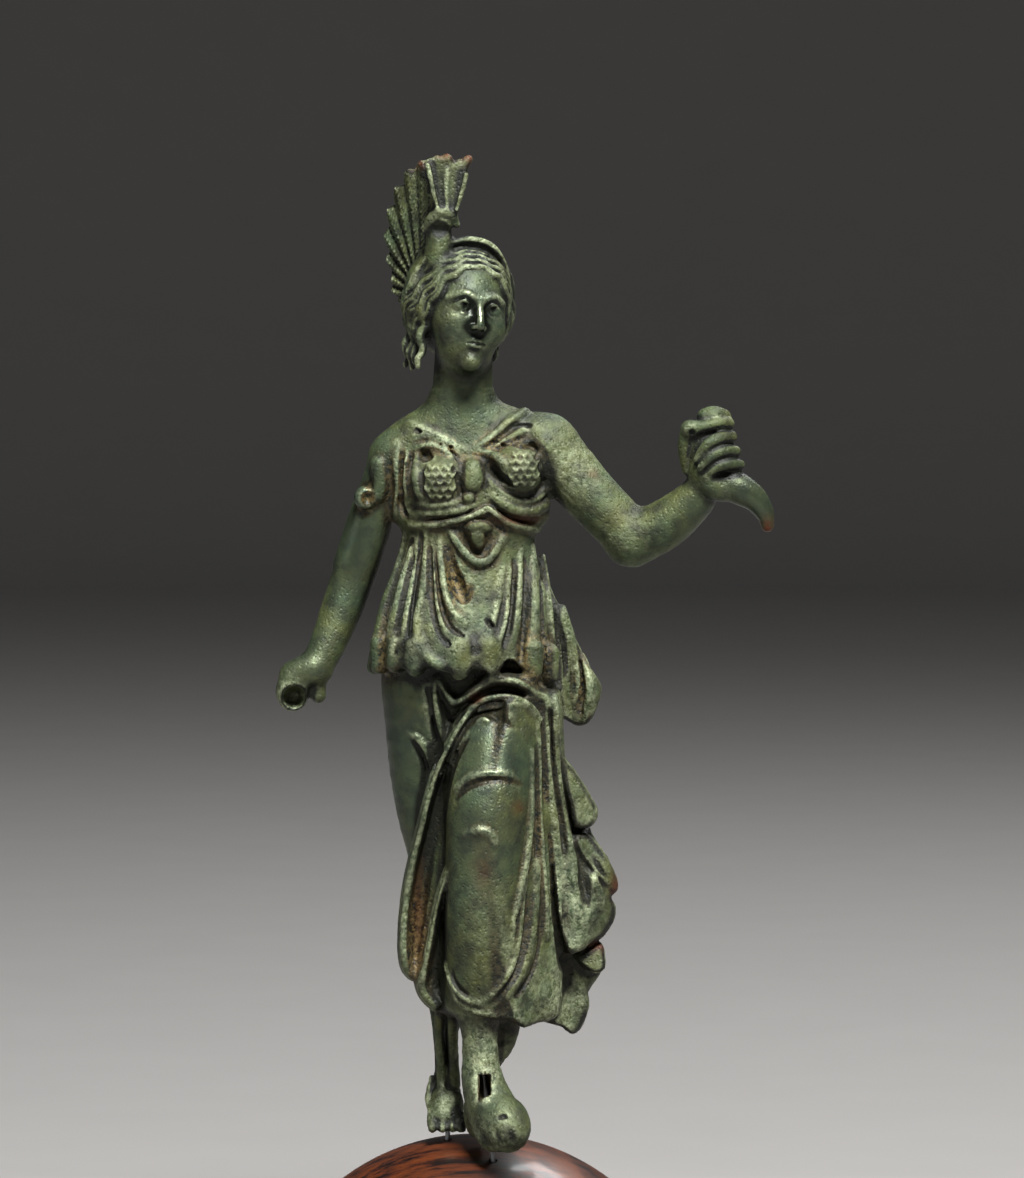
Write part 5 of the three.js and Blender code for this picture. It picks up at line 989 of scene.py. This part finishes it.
def carveFigure():
    low, high = [np.array((corner - Vector((0, 0, figureZ))) / share) for corner in (figureLow, figureHigh)]
    room = carving["room"]
    axes = [axisLines(low[n] - room, high[n] + room, carving["fineSpans"][n]) for n in range(3)]
    values = sampleField(allForms, axes)
    print("figure sampled:", values.shape)
    piece = fineMesh("figure_fine", *biggestSkin(*skinField(values, axes)))
    print("figure skinned:", len(piece.data.vertices), "points")
    thinned(piece, carving["triangles"])
    mesh = piece.data
    points, normals = meshPoints(mesh), meshPoints(mesh, normals=True)
    short, long = carving["probes"]
    near = fieldNear(values, axes, points + normals * short)
    wide = fieldNear(values, axes, points + normals * long)
    within = fieldNear(values, axes, points - normals * short)
    marks = {name: patches(points, rows) for name, rows in skin.items()}
    # how enclosed each point is: the bronze paints shade into the hollows by it, and lays earth there
    marks["hollow"] = np.clip((short - near) / short * 1.6 + (long - wide) / long * 1.2, 0, 1)
    marks["edge"] = np.clip((short + within) / short * 2, 0, 1)
    rough = np.clip(0.25 + marks["pitted"] - 0.5 * marks["rubbed"], 0, 1)
    points = roughen(points, normals, rough)
    points = np.clip(points * share + [0, 0, figureZ], np.array(figureLow) + 1e-6,
                     np.array(figureHigh) - 1e-6)
    mesh.vertices.foreach_set("co", points.astype(np.float32).ravel())
    for name, amounts in marks.items():
        mesh.attributes.new(name, "FLOAT", "POINT").data.foreach_set("value", amounts.astype(np.float32))
    mesh.update()
    print("figure finished:", len(mesh.polygons), "triangles")
    return piece


# Materials

def linear(text):  # "#rrggbb" as seen on screen to linear light
    parts = [int(text[i:i + 2], 16) / 255 for i in (1, 3, 5)]
    return [p / 12.92 if p <= 0.04045 else ((p + 0.055) / 1.055) ** 2.4 for p in parts] + [1]


def newTree(name):
    material = bpy.data.materials.new(name)
    material.use_nodes = True
    return material, material.node_tree, material.node_tree.nodes["Principled BSDF"]


def wire(tree, node, inputs):  # links the sockets and sets the plain values
    for name, value in inputs.items():
        if isinstance(value, bpy.types.NodeSocket):
            tree.links.new(value, node.inputs[name])
        else:
            node.inputs[name].default_value = value


def add(tree, kind, inputs, out=0, **settings):  # adds a node and gives one of its outputs
    node = tree.nodes.new("ShaderNode" + kind)
    for name, value in settings.items():
        setattr(node, name, value)
    wire(tree, node, inputs)
    return node.outputs[out]


def coated(tree, colour, coats):  # tones laid over a colour, each by its amount where its patterns rise
    for tone, amount, ranges in coats:
        for pattern, low, high in ranges:
            risen = add(tree, "MapRange", {"Value": pattern, "From Min": low, "From Max": high})
            amount = add(tree, "Math", {0: risen, 1: amount}, operation="MULTIPLY", use_clamp=True)
        colour = add(tree, "Mix", {"Factor": amount, 6: colour, 7: linear(tone)}, 2, data_type="RGBA")
    return colour


bronze = {
    "dark": "#0b0f0a",      # old brown-black patina in the stains; also painted shade, darkening the hollows
    "green": "#3e4e33",     # the common dull green
    "olive": "#4e5228",     # yellower where the wet earth lay
    "pale": "#a9b28f",      # verdigris crust on raised folds
    "satin": "#465249",     # rubbed skin, greyer
    "earth": "#6f6039",     # buried soil, dried in the grooves
    "copper": "#52280f",    # bare metal showing through
    # mm, detail and roughness of its clouds, stains, flecks and grit
    "grains": [(9, 5, 0.6), (3.2, 5, 0.6), (0.9, 5, 0.7), (0.4, 3, 0.65)],
    "pits": 0.8,            # mm from one pit to the next
    "relief": 0.35,         # mm deep
    "roughness": (0.6, 0.3),    # of the dull crust, and where it is rubbed
    "metallic": (0.3, 0.75),    # likewise
    "bump": (0.95, 0.2),        # likewise
}


def bronzeMaterial():  # patinated cast bronze: dull green crust, a satin sheen where it is rubbed
    material, tree, shader = newTree("patinated_bronze")
    coords = add(tree, "TexCoord", {}, "Object")
    hollow, edge, rubbed, pitted, earthy, coppery = [
        add(tree, "Attribute", {}, "Fac", attribute_name=name)
        for name in ("hollow", "edge", "rubbed", "pitted", "earthy", "coppery")]
    cloud, stain, fleck, grit = [
        add(tree, "TexNoise", {"Vector": coords, "Scale": 1 / (size * mm), "Detail": detail,
                               "Roughness": rough})
        for size, detail, rough in bronze["grains"]]
    worn = add(tree, "Math", {0: edge, 1: 0.65}, operation="MULTIPLY", use_clamp=True)
    eaten = add(tree, "Math", {0: pitted, 1: 2}, operation="POWER", use_clamp=True)
    crusty = add(tree, "Math", {0: eaten, 1: 0.75, 2: worn}, operation="MULTIPLY_ADD", use_clamp=True)
    colour = coated(tree, linear(bronze["green"]), [
        (bronze["olive"], 1, [(cloud, 0.35, 0.65)]),
        (bronze["dark"], 0.7, [(stain, 0.6, 0.36)]),
        (bronze["satin"], 0.6, [(rubbed, 0, 1)]),
        (bronze["pale"], crusty, [(fleck, 0.38, 0.6), (stain, 0.25, 0.55)]),
        # painted shade: the hollows are darkened almost to black, standing in for occlusion
        (bronze["dark"], 0.95, [(hollow, 0.1, 0.6)]),
        (bronze["earth"], earthy, [(hollow, 0.05, 0.4), (fleck, 0.42, 0.56)]),
        (bronze["copper"], coppery, [(fleck, 0.3, 0.5)]),
    ])
    gloss = add(tree, "Math", {0: pitted, 1: -0.8, 2: rubbed}, operation="MULTIPLY_ADD", use_clamp=True)
    roughness, metallic, strength = [
        add(tree, "MapRange", {"Value": value, "From Max": full, "To Min": bronze[name][0],
                               "To Max": bronze[name][1]})
        for value, full, name in ((gloss, 1, "roughness"), (rubbed, 1, "metallic"), (gloss, 0.8, "bump"))]
    cells = add(tree, "TexVoronoi", {"Vector": coords, "Scale": 1 / (bronze["pits"] * mm)})
    pits = add(tree, "MapRange", {"Value": cells, "From Min": 0.05, "From Max": 0.4, "To Max": 0.3})
    grains = add(tree, "Math", {0: fleck, 1: grit}, operation="ADD")
    relief = add(tree, "Math", {0: grains, 1: 0.35, 2: pits}, operation="MULTIPLY_ADD", use_clamp=True)
    bump = add(tree, "Bump", {"Strength": strength, "Distance": bronze["relief"] * mm, "Height": relief})
    wire(tree, shader, {"Base Color": colour, "Roughness": roughness, "Metallic": metallic, "Normal": bump})
    return material


wood = {
    "dark": "#090403", "red": "#2c120a", "orange": "#57290f",
    "grains": [(2.6, 6, 0.66), (0.5, 3, 0.6)],  # mm, detail and roughness of its streaks and pores
    "turn": (0.2, 0.3, 0.25),                   # of the grain against the ball, in radians
    "stretch": 0.12,                            # along the grain
}


def woodMaterial():  # close-grained rosewood under a thin polish
    material, tree, shader = newTree("polished_rosewood")
    coords = add(tree, "TexCoord", {}, "Object")
    along = add(tree, "Mapping", {"Vector": coords, "Rotation": wood["turn"],
                                  "Scale": (wood["stretch"], 1, 1)})
    streaks, pores = [
        add(tree, "TexNoise", {"Vector": along, "Scale": 1 / (size * mm), "Detail": detail,
                               "Roughness": rough})
        for size, detail, rough in wood["grains"]]
    colour = coated(tree, linear(wood["red"]), [
        (wood["orange"], 1, [(streaks, 0.42, 0.6)]),
        (wood["dark"], 1, [(streaks, 0.47, 0.38)]),
        (wood["dark"], 0.7, [(pores, 0.58, 0.66)]),
    ])
    wire(tree, shader, {"Base Color": colour, "Roughness": 0.42, "Coat Weight": 0.3, "Coat Roughness": 0.12})
    return material


steel = {"dark": "#6f7173", "bright": "#9a9b9c", "scratch": 0.12, "stretch": 0.08}  # mm across, less along


def steelMaterial():  # dull drawn steel rod, with fine scratches along it
    material, tree, shader = newTree("drawn_steel")
    coords = add(tree, "TexCoord", {}, "Object")
    drawn = add(tree, "Mapping", {"Vector": coords, "Scale": (1, 1, steel["stretch"])})
    scratches = add(tree, "TexNoise", {"Vector": drawn, "Scale": 1 / (steel["scratch"] * mm), "Detail": 3,
                                       "Roughness": 0.55})
    colour = coated(tree, linear(steel["dark"]), [(steel["bright"], scratches, [])])
    wire(tree, shader, {"Base Color": colour, "Metallic": 1, "Roughness": 0.38})
    return material


floor = {"dark": "#878583", "light": "#8b8987", "mottle": 30}  # mm


def paleFloorMaterial():  # matt pale grey table
    material, tree, shader = newTree("pale_floor")
    coords = add(tree, "TexCoord", {}, "Object")
    mottle = add(tree, "TexNoise", {"Vector": coords, "Scale": 1 / (floor["mottle"] * mm), "Detail": 2,
                                    "Roughness": 0.55})
    colour = coated(tree, linear(floor["dark"]), [(floor["light"], mottle, [])])
    wire(tree, shader, {"Base Color": colour, "Roughness": 0.85})
    return material


figure = carveFigure()
figure.data.materials.append(bronzeMaterial())
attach(figure, "root")
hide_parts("figure")

ballShape = {"radius": 38.5, "chamfer": 1.2, "sides": 180, "rings": 60}  # mm


def turnedPiece(name, profile, sides, top=None):  # a [radius, height] profile turned round z, closed below
    turns = [2 * math.pi * i / sides for i in range(sides)]
    points = [(r * math.cos(a), r * math.sin(a), z) for r, z in profile for a in turns]
    last, under = (len(profile) - 1) * sides, len(points)
    points.append((0, 0, 0))
    faces = [(k + i, k + (i + 1) % sides, k + sides + (i + 1) % sides, k + sides + i)
             for k in range(0, last, sides) for i in range(sides)]
    faces += [(under, (i + 1) % sides, i) for i in range(sides)]
    if top is not None:
        points.append((0, 0, top))
        faces += [(under + 1, last + i, last + (i + 1) % sides) for i in range(sides)]
    mesh = bpy.data.meshes.new(name)
    mesh.from_pydata(points, [], faces)
    piece = bpy.data.objects.new(name, mesh)
    bpy.context.collection.objects.link(piece)
    return piece


def turnedBall():
    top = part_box("ball_base")[1][2]
    radius, chamfer = ballShape["radius"] * mm, ballShape["chamfer"] * mm
    middle = top - radius
    rim = math.asin((chamfer - middle) / radius)
    rings = [rim + (math.pi / 2 - rim) * i / ballShape["rings"] for i in range(ballShape["rings"])]
    profile = [(radius * math.cos(rim) - chamfer, 0)]
    profile += [(radius * math.cos(a), middle + radius * math.sin(a)) for a in rings]
    ball = turnedPiece("ball_fine", profile, ballShape["sides"], top)
    for pin in pins:
        boreInWood(ball, pin, middle, radius)
    ball.data.shade_smooth()
    ball.data.set_sharp_from_angle(angle=math.radians(25))
    return ball


def boreInWood(ball, pin, middle, radius):  # cuts a pin's bore out of the ball
    spot = Vector((pin["spot"][0] * share, pin["spot"][1] * share, 0))
    spot.z = middle + math.sqrt(radius ** 2 - spot.x ** 2 - spot.y ** 2)
    way = Vector((*pin["lean"], 1)).normalized()
    above = 2 * mm  # the drill starts above the wood
    long = (pin["inWood"] + boreBeyond) * mm + above
    bpy.ops.mesh.primitive_cylinder_add(vertices=24, radius=boreRadius * mm, depth=long)
    drill = bpy.context.object
    drill.location = spot + way * (above - long / 2)
    drill.rotation_euler = way.to_track_quat("Z", "Y").to_euler()
    cut = ball.modifiers.new("bore", "BOOLEAN")
    cut.operation, cut.solver, cut.object = "DIFFERENCE", "EXACT", drill
    bpy.context.view_layer.update()
    mesh = bpy.data.meshes.new_from_object(ball.evaluated_get(bpy.context.evaluated_depsgraph_get()))
    ball.modifiers.clear()
    ball.data = mesh
    bpy.data.objects.remove(drill)


ball = turnedBall()
ball.data.materials.clear()
ball.data.materials.append(woodMaterial())
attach(ball, "root")
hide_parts("ball_base")

steelFinish = steelMaterial()
for name in ("front_pin", "rear_pin"):
    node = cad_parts[name]
    node.data.materials.clear()
    node.data.materials.append(steelFinish)
print("pieces finished")


# Floor, light and camera

studio = {
    "target": [37, 568.5],      # looked at: across and up, in shares
    "distance": 1.0,            # metres from the figure
    "elevation": 3,             # degrees above the horizon
    "lens": 178.2,
    "sky": "#090909",
    "lamps": {                  # watts, size, azimuth, elevation and distance
        "key": (36, 0.32, 14, 58, 1.1),
        "fill": (1.2, 0.5, -64, 12, 1.2),
        "rim": (5, 0.4, 150, 45, 1.1),
    },
}

backdrop = {  # a flat floor that curves up into a round wall, in metres
    "flat": 2.4, "bend": 1.2, "height": 3.4, "bendSteps": 16, "sides": 128,
}


def paleBackdrop():
    flat, bend, height = backdrop["flat"], backdrop["bend"], backdrop["height"]
    turns = [math.pi / 2 * i / backdrop["bendSteps"] for i in range(backdrop["bendSteps"] + 1)]
    profile = [(0.2, 0), (0.7, 0)] + [(flat + bend * math.sin(t), bend * (1 - math.cos(t))) for t in turns]
    sweep = turnedPiece("backdrop", profile + [(flat + bend, height)], backdrop["sides"])
    sweep.data.flip_normals()
    sweep.data.shade_smooth()
    sweep.data.materials.append(paleFloorMaterial())


paleBackdrop()

target = Vector((studio["target"][0] * share, 0, figureZ + studio["target"][1] * share))


def aimed(thing, azimuth, elevation, distance):  # azimuth 0 is in front, 90 to the viewer's right
    a, e = math.radians(azimuth), math.radians(elevation)
    way = Vector((math.sin(a) * math.cos(e), -math.cos(a) * math.cos(e), math.sin(e)))
    thing.location = target + way * distance
    thing.rotation_euler = (-way).to_track_quat("-Z", "Y").to_euler()


def addLight(name, power, size, azimuth, elevation, distance):
    lamp = bpy.data.lights.new(name, "AREA")
    lamp.energy, lamp.size = power, size
    thing = bpy.data.objects.new(name, lamp)
    bpy.context.collection.objects.link(thing)
    aimed(thing, azimuth, elevation, distance)


for name, lamp in studio["lamps"].items():
    addLight(name, *lamp)

world = bpy.data.worlds.new("studio_sky")
world.use_nodes = True
world.node_tree.nodes["Background"].inputs["Color"].default_value = linear(studio["sky"])
bpy.context.scene.world = world

camera = bpy.data.objects.new("camera", bpy.data.cameras.new("camera"))
bpy.context.collection.objects.link(camera)
camera.data.lens = studio["lens"]
aimed(camera, 0, studio["elevation"], studio["distance"])
bpy.context.scene.camera = camera
bpy.context.scene.view_settings.view_transform = "Standard"
print("studio ready")
